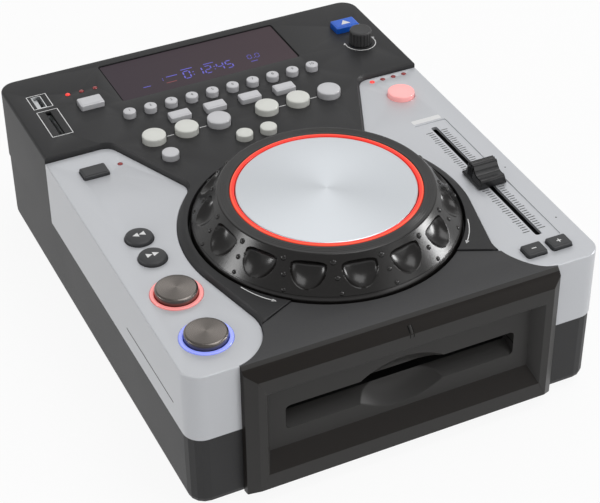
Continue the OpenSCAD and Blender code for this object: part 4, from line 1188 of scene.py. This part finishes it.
def rim_surface(wheel, glow_r):
    """The rim as a grid: a closed profile carried round the axle and pushed in by its dimples.

    On the flank, u is the distance along the rim from the nearest dimple's middle and v the distance down
    from the top edge. With w the distance from the dimple's widest line, over its short upper or long lower
    reach, and q = |u / half width|^n + |w|^n, the surface goes in by depth times (1 - q)^p. From the upper
    to the lower end n falls from 2.8 to 2.1, from a straight edge to a round one, and p grows from 0.5, a
    steep wall, to 0.85, a soft run-out.
    """
    lower, upper = flank_ends()
    well = CHEEK_TOP - 3
    long = np.linalg.norm(upper - lower)
    run = (upper - lower) / long
    outwards = np.array([run[1], -run[0]])
    widest, above, below = 6.5, 3.3, 10.4
    skirt = softened([(JOG_R, well), (JOG_R, CHEEK_TOP + 2.4), lower, lower * 0.9 + upper * 0.1], 0.9, 4)[:-1]
    stretches = ((0.35, 2.6, 5), (2.8, 4.6, 14), (4.9, long - 0.6, 40))
    down = np.concatenate([np.linspace(*stretch) for stretch in stretches])
    flank = upper - run * down[::-1, None]
    lip = softened([upper - run * 0.2, upper, (54.2, FLAT), (53.9, FLAT)], 0.2, 3)
    bend = [(glow_r + 0.9, FLAT), (glow_r + 0.35, FLAT), (glow_r, FLAT - 0.35), (glow_r, FLAT - 0.8)]
    crown = softened(bend, 0.2, 3)
    top = grooved(53.7, glow_r + 1.0, 3, 0.5, 0.1)
    profile = np.concatenate([[(glow_r, well)], skirt, flank, lip, top, crown, [(glow_r, FLAT - 3)]])
    turn = np.linspace(0, 2 * math.pi, 72 * wheel.dimples, endpoint=False)
    pitch = 2 * math.pi / wheel.dimples
    nearest = (turn - wheel.first + pitch / 2) % pitch - pitch / 2
    v = long - (profile - lower) @ run
    on = (np.abs((profile - lower) @ outwards) < 0.05) & (v > 0) & (v < long)
    w = np.where(v < widest, (v - widest) / above, (v - widest) / below)[:, None]
    u = nearest[None, :] * profile[:, :1]
    roundness = 2.8 - 0.7 * smooth(w + 0.5)
    q = np.abs(u / (wheel.dimple_wide / MM / 2)) ** roundness + np.abs(w) ** roundness
    depth = wheel.dimple_deep / MM * np.clip(1 - q, 0, 1) ** (0.5 + 0.35 * smooth(w)) * on[:, None]
    radius = profile[:, :1] - depth * outwards[0]
    level = profile[:, 1:] - depth * outwards[1]
    grid = np.stack([JOG[0] + radius * np.cos(turn), JOG[1] + radius * np.sin(turn), level], axis=-1)
    return grid, quads(*radius.shape, True, True)


def rim_nubs(shape, wheel):
    """Three low round nubs in a slightly slanting row down the flank between each two dimples."""
    lower, upper = flank_ends()
    run = (upper - lower) / np.linalg.norm(upper - lower)
    out = np.array([run[1], -run[0]])
    tilt = np.linspace(0, math.pi / 2, 6)
    up = np.array([0, 0, 1])
    ring = circle((0, 0), 1, 16)
    for i in range(wheel.dimples):
        for radius, size, slant in ((56.9, 1.5, -0.6), (61.6, 1.35, 1.1), (66.2, 1.2, 2.5)):
            turn = wheel.first + (i + 0.5) * 2 * math.pi / wheel.dimples + math.radians(slant)
            radial = np.array([math.cos(turn), math.sin(turn), 0])
            round_ = np.array([-math.sin(turn), math.cos(turn), 0])
            foot = lower + run * (radius - lower[0]) / run[0]
            centre = np.array([*JOG, 0]) + radial * foot[0] + up * foot[1]
            normal = radial * out[0] + up * out[1]
            down = radial * run[0] + up * run[1]
            rows = [
                centre + normal * (math.sin(t) * size * 0.6 - 0.1)
                + (ring[:, :1] * down + ring[:, 1:] * -round_) * (size * math.cos(t))
                for t in tilt
            ]
            shape.loft(rows)


# ---- keys ----


def key_body(name):
    """The CAD body that a key is."""
    return f"{name}_body"


def key(name, material, slot, edge=0.7, dome=0.25, extra=None):
    """A key: straight sides, a rounded edge and a slightly domed top, with whatever extra adds to it."""
    ring = key_ring(name)
    top = span(name)[1][2]
    reach = min(np.ptp(ring[:, 0]), np.ptp(ring[:, 1])) / 2
    side = [(0, top - 7), (0, top - dome - edge * 0.3), (edge, top - dome * 0.7)]
    profile = softened([*side, (reach * 0.55, top), (reach * 0.9, top)], edge, 5)
    shape = Shape()
    centre = ring.mean(axis=0)
    rings = [lifted(ring * 0 + centre, top - 7)]
    for d, z in profile:
        shrunk = centre + (ring - centre) * (1 - d / reach)
        if name in SQUARE_KEYS:
            shrunk = inset(ring, min(d, 0.97))
        rings.append(lifted(shrunk, z))
    shape.loft([*rings, lifted(ring * 0 + centre, top)])
    materials = [material]
    if extra:
        materials += extra(shape, centre, top)
    return shape.piece(name + "_cap", key_body(name), materials, [name])


def lettering(shape, text, centre, size, level, slot):
    """Flat figures set with their middle at a centre: the font's own outlines, filled and read as a mesh."""
    curve = bpy.data.curves.new("figures", "FONT")
    curve.body = text
    curve.size = size
    curve.align_x = "CENTER"
    curve.align_y = "CENTER"
    curve.resolution_u = 3
    obj = bpy.data.objects.new("figures", curve)
    bpy.context.scene.collection.objects.link(obj)
    bpy.context.view_layer.update()
    mesh = bpy.data.meshes.new_from_object(obj.evaluated_get(bpy.context.evaluated_depsgraph_get()))
    points = np.zeros(len(mesh.vertices) * 3)
    mesh.vertices.foreach_get("co", points)
    points = points.reshape(-1, 3)[:, :2]
    points = (points - (points.min(axis=0) + points.max(axis=0)) / 2) + centre
    faces = [list(p.vertices) for p in mesh.polygons]
    start = shape.count
    shape.points.append(lifted(points, level))
    shape.faces += [[i + start for i in f] for f in faces]
    shape.slots += [slot] * len(faces)
    shape.flats += [True] * len(faces)
    shape.count += len(points)
    bpy.data.objects.remove(obj)
    bpy.data.meshes.remove(mesh)
    bpy.data.curves.remove(curve)


def arrow_pair(direction):
    """The two filled triangles of a search key, pointing left or right."""
    def marks(shape, centre, top):
        for i in (-1, 0):
            tip = centre + np.array([direction * (i + 1) * 3.4 + direction * 0.1, 0])
            back = tip - np.array([direction * 3.2, 0])
            corners = [tip, back + (0, 1.75 * direction), back - (0, 1.75 * direction)]
            shape.patch(corners, top + PRINT, 1)
        return [shared("white_print")]
    return marks


def sign(plus):
    """A plus or a minus in white."""
    def marks(shape, centre, top):
        shape.band(centre + np.array([(-1.3, 0), (1.3, 0)]), 0.6, top + PRINT, 1)
        if plus:
            shape.band(centre + np.array([(0, -1.3), (0, 1.3)]), 0.6, top + 0.04, 1)
        return [shared("white_print")]
    return marks


def tray_sign(shape, centre, top):
    """A triangle over the whole key, pointing to the back."""
    shape.patch(centre + np.array([(-2.9, -1.8), (2.9, -1.8), (0, 2.6)]), top + PRINT, 1)
    return [shared("white_print")]


def number_sign(i):
    """A key's own number in black."""
    def marks(shape, centre, top):
        lettering(shape, str(i), centre, 2.9, top + PRINT, 1)
        return [shared("black_print")]
    return marks


class PLAYER_OT_keys(bpy.types.Operator):
    """Builds every push key in its own colour, with its number or sign"""

    bl_idname = "player.keys"
    bl_label = "Keys"

    def execute(self, context):
        tints = settings()[2]
        grey = moulded("key_grey", tints.grey_key, 0.42, 3500, 0.06, 6e-6, coat=0.5)
        dark = moulded("key_dark", tints.dark_key, 0.5, 2500, 0.2, 1.5e-5)
        blue = moulded("key_blue", tints.blue_key, 0.4, 3000, 0.06, 8e-6, coat=0.2)
        white = lit("key_white", tints.lit_key, tints.lit_key, 0.06, 0.38, 0.08)
        rose = lit("key_rose", tints.pink_key, tints.pink_key, 0.3, 0.38, 0.1)
        for i, name in enumerate(NUMBER_KEYS):
            key(name, grey, "grey_button", extra=number_sign(i + 1))
        for name in [*STRIP_KEYS, "time_button", "tap_button"]:
            key(name, grey, "grey_button", 0.6)
        for i, name in enumerate(LOOP_KEYS):
            finish, slot = (grey, "grey_button") if i in (2, 5) else (white, "white_button")
            key(name, finish, slot, 0.9, 0.35)
        for name in ("reverse_button", "relay_button"):
            key(name, white, "white_button", 0.8, 0.35)
        key("eject_button", blue, "blue_button", extra=tray_sign)
        key("shift_button", dark, "black_moulding", 0.6)
        key("lamp_button", rose, "pink_button", 0.9, 0.3)
        for name, direction in zip(SEARCH_KEYS, (-1, 1)):
            key(name, dark, "black_moulding", 1.3, 0.7, arrow_pair(direction))
        for name, plus in zip(BEND_KEYS, (False, True)):
            key(name, dark, "black_moulding", 0.6, 0.15, sign(plus))
        return {"FINISHED"}


class PLAYER_OT_caps(bpy.types.Operator):
    """Builds the two spun metal caps of the start and stop keys"""

    bl_idname = "player.caps"
    bl_label = "Start and stop caps"

    def execute(self, context):
        tints = settings()[2]
        for name in METAL_KEYS:
            low, high = span(name)
            centre, top = middle(name)[:2], high[2]
            radius = (high - low)[0] / 2 - FLANGE
            edge = [(radius, top - 6.5), (radius, top - 0.9), (radius - 0.9, top - 0.25)]
            side = softened([*edge, (radius * 0.6, top - 0.02)], 0.35, 4)
            shape = Shape()
            shape.turned(centre, [(0, top - 6.5), *side, (0, top)], steps=96)
            # 0.25 is the caps' painted sheen, brightest along bearing -40
            metal = spun(f"spun_{name}", tints.steel, centre, 0.24, 3600, 0.25, 0.7, bearing=-40, lines=0.3)
            shape.piece(name + "_cap", key_body(name), [metal], [name], crease=18)
        return {"FINISHED"}


class PLAYER_OT_lamps(bpy.types.Operator):
    """Builds the small lamps and the lit rings round the start and stop caps"""

    bl_idname = "player.lamps"
    bl_label = "Lamps"

    def execute(self, context):
        tints = settings()[2]
        on = lit("lamp_on", (0.5, 0.02, 0.02), tints.red_light, 1.0, 0.25, 0.2)
        off = lit("lamp_off", (0.16, 0.012, 0.012), (0.22, 0.01, 0.01), 0.5, 0.25, 0.3)
        shape = Shape()
        for places, level in ((DECK_LAMPS, DECK_TOP), ([LEFT_LAMP], CHEEK_TOP), (RIGHT_LAMPS, CHEEK_TOP)):
            for i, centre in enumerate(places):
                slot = 0 if i == 0 and len(places) > 1 else 1
                rise = np.linspace(0, math.pi / 2, 6)
                dome = [(LAMP_R * math.cos(a), level + 0.55 * math.sin(a) - 0.05) for a in rise]
                shape.turned(centre, [(0, level - 3), (LAMP_R, level - 3), *dome], slot, 24)
        shape.piece("small_lamps", "housing", [on, off], ["light_guides"])
        for name, tint in zip(METAL_KEYS, (tints.red_light, tints.blue_light)):
            shape = Shape()
            inner, outer = 10.8, RING_OUT
            low, high = CHEEK_TOP - 2, CHEEK_TOP + 0.4
            crown = softened([(outer, low), (outer, high), (inner, high), (inner, low)], 0.5, 4)
            shape.turned(middle(name)[:2], [*crown, crown[0]], steps=96)
            pale = np.array(tint) * 0.45 + 0.4
            ring = lit(f"ring_{name}", pale, tint, 0.45, 0.3, 0.2)
            shape.piece(f"{name}_ring", "housing", [ring])
        return {"FINISHED"}


# ---- slider and knob ----


class PLAYER_OT_slider(bpy.types.Operator):
    """Builds the slider's cap with its thumb saddle, ridges and layered sides"""

    bl_idname = "player.slider"
    bl_label = "Slider"

    def execute(self, context):
        shape = Shape()
        cap_high, skirt_high, half_wide = 9.8, 1.2, 8.0
        base = span("fader_cap")[1][2] - cap_high
        front = [(-8.9, 1.2), (-8.7, 4.1), (-7.9, 5.1), (-5.8, 4.8), (-3.6, 5.1), (-1.6, 6.7), (-0.4, 8.8)]
        ridges = [(0.5, 9.6), (1.4, 8.9), (2.4, 9.8), (3.4, 9.0), (4.3, 9.4)]
        top = softened([*front, *ridges, (5.1, 8.2), (6.8, 2.8), (8.9, 1.2)], 0.5, 3)
        y, height = top.T
        steps = np.array([0, 0.14, 0.16, 0.38, 0.40, 0.62, 0.64, 0.86, 0.9, 1.0])
        pull = np.array([0, 0.1, 0.35, 0.45, 0.68, 0.78, 1.0, 1.1, 1.2, 1.55])
        side = np.concatenate([[half_wide, half_wide], 7.7 - pull * 0.5])
        rise = np.concatenate([[0, 1], 1.15 + 0 * steps])
        part = np.concatenate([[0, 0], steps])
        z = rise[None, :] + part[None, :] * np.clip(height - skirt_high, 0, None)[:, None]
        right = np.stack([np.broadcast_to(side, z.shape), np.broadcast_to(y[:, None], z.shape), z], axis=-1)
        left = right[:, ::-1] * (-1, 1, 1)
        grid = np.concatenate([right, left], axis=1)
        grid[..., :2] += middle("fader_cap")[:2] * (1, 0) + (0, FADER[1])
        grid[..., 2] += base
        ends = [np.broadcast_to(row.mean(axis=0), row.shape)[None] for row in (grid[0], grid[-1])]
        shape.loft(list(np.concatenate([ends[1], grid[::-1], ends[0]])))
        shape.cap(rounded(FADER, (1.6, 6), 0.4), [(0, base - 8), (0, base + 1)])
        black = moulded("slider_black", (0.012, 0.012, 0.013), 0.26, 2600, 0.15, 1e-5, specular=0.4)
        shape.piece("slider_cap", "fader", [black], ["fader_cap"], crease=38)
        paint("fader_body", shared("black_plastic"))
        return {"FINISHED"}


class PLAYER_OT_knob(bpy.types.Operator):
    """Builds the fluted selector knob"""

    bl_idname = "player.knob"
    bl_label = "Selector knob"

    def execute(self, context):
        low, high = span("select_knob")
        radius, top, bottom = 6.5, high[2], DECK_TOP + 0.5
        steps = 240
        turn = np.linspace(0, 2 * math.pi, steps, endpoint=False)
        half_flutes, flute_deep, smooth_top = 10, 0.55, 0.9
        flute = np.abs(np.cos(half_flutes * turn)) ** 0.7
        side = [(radius, bottom), (radius - 0.1, top - 1.4), (radius - 0.5, top - 0.25), (radius - 1.3, top)]
        profile = softened([*side, (radius * 0.5, top - 0.15)], 0.35, 4)
        cut = np.clip((top - smooth_top - profile[:, 1]) / 1.2, 0, 1)
        r = profile[:, :1] - flute_deep * cut[:, None] * (1 - flute)
        round_ = np.column_stack([np.cos(turn), np.sin(turn)])
        rings = [lifted(KNOB + row[:, None] * round_, z) for row, z in zip(r, profile[:, 1])]
        shape = Shape()
        centre = lifted(np.broadcast_to(KNOB, (steps, 2)), 0)
        shape.loft([centre + (0, 0, bottom), *rings, centre + (0, 0, top - 0.15)])
        shape.turned(KNOB, [(0, low[2]), (3, low[2]), (3, bottom + 1), (0, bottom + 1)], steps=24)
        black = moulded("knob_black", (0.035, 0.035, 0.036), 0.55, 2400, 0.25, 2e-5)
        shape.piece("selector", "selector", [black], ["select_knob"], crease=40)
        return {"FINISHED"}


# ---- display and prints ----

SEGMENTS = {
    "0": "abcdef", "1": "bc", "2": "abged", "3": "abgcd", "4": "fgbc",
    "5": "afgcd", "6": "afgedc", "7": "abc", "8": "abcdefg", "9": "abcdfg",
}


def digit(shape, mark, corner, size, level):
    """One figure of seven bars, each a slim six-cornered patch; the figure leans to the right."""
    wide, tall = size
    half = tall / 2
    bars = {
        "a": ((0, tall), (wide, tall)), "g": ((0, half), (wide, half)), "d": ((0, 0), (wide, 0)),
        "f": ((0, half), (0, tall)), "b": ((wide, half), (wide, tall)),
        "e": ((0, 0), (0, half)), "c": ((wide, 0), (wide, half)),
    }
    stroke = tall * 0.055
    for name in SEGMENTS[mark]:
        start, end = (np.array(p, float) for p in bars[name])
        along = (end - start) / np.linalg.norm(end - start)
        side = np.array([-along[1], along[0]]) * stroke
        a, b = start + along * stroke * 0.9, end - along * stroke * 0.9
        inner_a, inner_b = a + along * stroke, b - along * stroke
        ring = np.array([a, inner_a - side, inner_b - side, b, inner_b + side, inner_a + side])
        ring[:, 0] += ring[:, 1] * 0.14
        shape.patch(ring + corner, level)


class PLAYER_OT_display(bpy.types.Operator):
    """Builds the display: smoked window, time, track and speed figures"""

    bl_idname = "player.display"
    bl_label = "Display"

    def execute(self, context):
        tints = settings()[2]
        paint("display_window", smoked_window(tints.window))
        glass = span("display_window")[1][2] + 0.04
        violet = lit("digits_violet", (0.01, 0.01, 0.03), tints.digits, 0.75, 0.4, 0.2)
        red = lit("digits_red", (0.02, 0.005, 0.005), (0.3, 0.02, 0.03), 0.7, 0.4, 0.2)
        shape = Shape()
        big, x, y = (3.7, 7.4), -12.6, FRONT + 235.3
        for mark in "0:12:45":
            if mark == ":":
                for up in (0.3, 0.68):
                    dot = np.array([x + 0.3 + big[1] * up * 0.14, y + big[1] * up])
                    shape.patch(rounded(dot, (0.8, 0.8), 0.15, 2), glass)
                x += 1.9
            else:
                digit(shape, mark, (x, y), big, glass)
                x += 5.5
        for mark, left in (("0", 27.6), ("0", 32.4)):
            digit(shape, mark, (left, y + 3.6), (2.2, 4.2), glass)
        shape.patch(rounded((31.3, y + 3.7), (0.6, 0.6), 0.1, 2), glass)
        digit(shape, "1", (-26.4, y + 3.2), (1.6, 3.2), glass)
        bars = ((-37.5, 1.5, 4.4), (-24, 0.4, 6.2), (-22, 6.3, 6.6), (28, 0.6, 4), (-12, 9.6, 7), (2, 9.6, 6))
        for left, low, wide in bars:
            path = np.array([(left, y + low), (left + wide, y + low)])
            shape.band(path, 0.7, glass, 1 if left == -24 else 0)
        shape.outline(rounded(DISPLAY, DISPLAY_SIZE, DISPLAY_CORNER), 0.7, glass, 2)
        shape.piece("display_figures", "housing", [violet, red, shared("pit_black")])
        return {"FINISHED"}


def arrow_head(shape, tip, direction, size, level):
    """A filled arrowhead at a tip, pointing along a direction in degrees."""
    along = towards(direction)
    side = np.array([-along[1], along[0]])
    back = tip - along * size
    shape.patch([tip, back + side * size * 0.42, back - side * size * 0.42], level)


class PLAYER_OT_prints(bpy.types.Operator):
    """Prints the lines, outlines, arrows and the slider's scale on deck and cheeks"""

    bl_idname = "player.prints"
    bl_label = "Prints"

    def execute(self, context):
        deck, cheek = DECK_TOP + PRINT, CHEEK_TOP + PRINT
        shape = Shape()
        for centre, size in ((USB + (0.4, 0), (11.3, 14.4)), (CARD + (0, 0.2), (12, 27))):
            shape.outline(rounded(centre, size, 0.3, 2), 0.45, deck)
        line, knob_arc = 0.5, 8.8
        # Loop keys closer than this are joined by a line that stays clear of their middles
        apart, clear = 22, 7.4
        for first, second in zip(LOOP_KEYS[:-1], LOOP_KEYS[1:]):
            a, b = middle(first)[:2], middle(second)[:2]
            if b[0] - a[0] < apart:
                shape.band(np.array([a + (clear, 0), b - (clear, 0)]), line, deck)
        shape.band(arc(KNOB, knob_arc, 168, 372, 40), line, deck)
        for angle, turn in ((163, 70), (377, 110)):
            tip = arc(KNOB, knob_arc, angle, angle, 1)[0]
            arrow_head(shape, tip + (0, 0.9), turn, 2.2, deck)
        for side in (-1, 1):
            start, end, pull = place(side * 61.9, 48.9), place(side * 51.9, 32.5), (side * 1.4, -1.6)
            t = np.linspace(0, 1, 16)[:, None]
            control = (start + end) / 2 + pull
            path = curve(start, control, end, t)
            shape.band(path, 0.45, deck)
            last = path[-1] - path[-2]
            arrow_head(shape, path[-1] + last * 0.9, angle_of(last), 2.4, deck)
        shape.piece("deck_prints", "housing", [shared("white_print")])
        shape = Shape()
        count, pitch, tray_floor = 51, 1.98, CHEEK_TOP - 0.47
        for i in range(count):
            y = FADER[1] - 49.5 + i * pitch
            long = 3.1 if i % 5 else 3.9
            for x0, sense in ((CHEEK_X - 2.9, -1), (CHEEK_X + 2.2, 1)):
                ends = sorted((x0, x0 + sense * long))
                shape.band(np.array([(ends[0], y), (ends[1], y)]), 0.55, tray_floor)
        for spot in (place(104.5, 83.7), place(104.5, 34.2)):
            shape.patch(circle(spot, 0.45, 12), cheek, 0)
        shape.patch(rounded(place(89.5, 141.7), (17, 3.6), 0.4, 3), cheek, 1)
        finishes = [shared("black_print"), shared("white_print")]
        shape.piece("cheek_prints", "housing", finishes)
        return {"FINISHED"}


class PLAYER_OT_insides(bpy.types.Operator):
    """Gives the rear panel, the sockets and the inner parts their finishes"""

    bl_idname = "player.insides"
    bl_label = "Rear and inner parts"

    def execute(self, context):
        board = moulded("board_green", (0.012, 0.09, 0.04), 0.35, 900, 0.3, 1e-5, coat=0.3)
        brass = moulded("bush_brass", (0.62, 0.43, 0.16), 0.3, 1200, 0.1, 8e-6, metallic=0.95)
        paper = moulded("supply_board", (0.35, 0.25, 0.1), 0.6, 900, 0.3, 2e-5)
        panel = moulded("rear_plate", (0.035, 0.035, 0.037), 0.45, 1600, 0.2, 2e-5, metallic=0.3)
        dull = moulded("drive_rubber", (0.02, 0.02, 0.02), 0.8, 1500, 0.3, 4e-5)
        plastic, steel = shared("black_plastic"), shared("plated_steel")
        finishes = {
            "control_board": board, "main_board": board, "power_supply": paper, "rear_panel": panel,
            "rear_sockets": plastic, "power_rocker": plastic, "media_sockets": steel, "drive_frame": steel,
            "drive_roller": dull, "drive_turntable": dull, "jog_bush": brass,
        }
        for node, material in finishes.items():
            paint(node, material)
        return {"FINISHED"}


# ---- studio ----


class PLAYER_OT_studio(bpy.types.Operator):
    """Sets the white floor, the soft lights, the even light all round and the camera"""

    bl_idname = "player.studio"
    bl_label = "Studio"

    def execute(self, context):
        studio = settings()[3]
        scene = context.scene
        scene.view_settings.view_transform = "Standard"
        self.floor(studio)
        self.room(scene, studio)
        # name, power, place, size and whether the lamp shows only as a highlight
        lamps = (
            ("key_light", studio.key, (0.45, -0.35, 1.65), (1.0, 1.0), False),
            ("back_light", studio.fill, (0.5, 1.1, 1.25), (1.3, 0.9), False),
            ("left_light", studio.fill * 2, (-1.35, 0.35, 0.62), (0.35, 0.35), True),
            ("front_light", studio.fill * 1.3, (0.9, -1.35, 0.55), (0.8, 0.8), False),
            ("right_light", studio.fill * 4, (1.35, -0.35, 0.5), (0.35, 0.35), True),
        )
        for lamp in lamps:
            self.lamp(*lamp)
        self.camera(scene, studio)
        return {"FINISHED"}

    @staticmethod
    def seen_rays(tree):
        """One for rays from the camera, from a mirror and through glass, else zero."""
        path = tree.nodes.new("ShaderNodeLightPath")
        seen = math_node(tree, "MAXIMUM", path.outputs["Is Camera Ray"], path.outputs["Is Glossy Ray"])
        return math_node(tree, "MAXIMUM", seen, path.outputs["Is Transmission Ray"])

    def floor(self, studio):
        """A white round floor that rises to a low wall: a flat disc, a quarter circle and an upright band."""
        far, bend, wall = studio.floor_size / 2, 1.0, 2.0
        shape = Shape()
        turn = np.radians(np.linspace(0, 90, 13))
        rise = [(far + bend * math.sin(a), bend * (1 - math.cos(a))) for a in turn]
        profile = [(0, 0), (1, 0), *rise, (far + bend, wall)]
        shape.turned((0, 0), [(r / MM, z / MM - 0.2) for r, z in profile], steps=96)
        floor = shape.mesh("floor")
        material, tree, shader = new_material("studio_floor")
        set_inputs(shader, {"Base Color": (0.8, 0.8, 0.8, 1), "Roughness": 0.9, "Specular IOR Level": 0.1})
        glow, mix = new_nodes(tree, "Emission", "MixShader")
        tree.links.new(math_node(tree, "MULTIPLY", self.seen_rays(tree), 0.92), mix.inputs[0])
        tree.links.new(shader.outputs[0], mix.inputs[1])
        tree.links.new(glow.outputs[0], mix.inputs[2])
        tree.links.new(mix.outputs[0], tree.nodes["Material Output"].inputs["Surface"])
        floor.data.materials.append(material)

    @staticmethod
    def room(scene, studio):
        """An even light from all round."""
        world = bpy.data.worlds.new("studio")
        world.use_nodes = True
        back = world.node_tree.nodes["Background"]
        set_inputs(back, {"Color": (1, 1, 1, 1), "Strength": studio.world})
        scene.world = world

    @staticmethod
    def lamp(name, power, spot, size, sheen):
        """A softbox that looks at the player; one for sheen shows only as a highlight."""
        data = bpy.data.lights.new(name, "AREA")
        data.shape = "RECTANGLE"
        data.size, data.size_y = size
        data.energy = power
        lamp = bpy.data.objects.new(name, data)
        lamp.location = spot
        lamp.rotation_euler = (Vector((0, 0, 0.05)) - Vector(spot)).to_track_quat("-Z", "Y").to_euler()
        lamp.visible_diffuse = not sheen
        bpy.context.scene.collection.objects.link(lamp)

    @staticmethod
    def camera(scene, studio):
        """The camera at the fitted place, from its right, up and forward directions."""
        data = bpy.data.cameras.new("camera")
        data.lens = studio.lens
        data.sensor_width = 36
        data.clip_start, data.clip_end = 0.02, 60
        camera = bpy.data.objects.new("camera", data)
        right = Vector((0.90204777, -0.43156033, -0.00809317))
        up = Vector((0.26676748, 0.54266132, 0.79646331))
        forward = Vector((0.33933012, 0.72060694, -0.6046327))
        turn = Matrix((right, up, -forward)).transposed().to_4x4()
        camera.matrix_world = Matrix.Translation((-0.314280, -0.687214, 0.603020)) @ turn
        scene.collection.objects.link(camera)
        scene.camera = camera


OPERATORS = (
    PLAYER_OT_console, PLAYER_OT_cheeks, PLAYER_OT_bezel, PLAYER_OT_tub, PLAYER_OT_wheel, PLAYER_OT_keys,
    PLAYER_OT_caps, PLAYER_OT_lamps, PLAYER_OT_slider, PLAYER_OT_knob, PLAYER_OT_display, PLAYER_OT_prints,
    PLAYER_OT_insides, PLAYER_OT_studio,
)
GROUPS = {
    "player_case": CaseSizes,
    "player_wheel": WheelSizes,
    "player_colours": FinishColours,
    "player_studio": StudioSettings,
}


class PLAYER_PT_panel(bpy.types.Panel):
    """Lists the player's settings and the steps that build it"""

    bl_idname = "PLAYER_PT_panel"
    bl_label = "Disc Player"
    bl_space_type = "VIEW_3D"
    bl_region_type = "UI"
    bl_category = "Disc Player"

    def draw(self, context):
        for name, group in GROUPS.items():
            box = self.layout.box()
            for setting in group.__annotations__:
                box.prop(getattr(context.scene, name), setting)
        for step in OPERATORS:
            self.layout.operator(step.bl_idname)


def register():
    """Registers the settings, the steps and the panel."""
    for cls in (*GROUPS.values(), *OPERATORS, PLAYER_PT_panel):
        bpy.utils.register_class(cls)
    for name, group in GROUPS.items():
        setattr(bpy.types.Scene, name, PointerProperty(type=group))


def unregister():
    """Takes the panel, the steps and the settings out again."""
    for name in GROUPS:
        delattr(bpy.types.Scene, name)
    for cls in (PLAYER_PT_panel, *OPERATORS[::-1], *GROUPS.values()):
        bpy.utils.unregister_class(cls)


def main():
    """Builds the player step by step."""
    register()
    for step in OPERATORS:
        group, name = step.bl_idname.split(".")
        getattr(getattr(bpy.ops, group), name)()


if __name__ == "__main__":
    main()
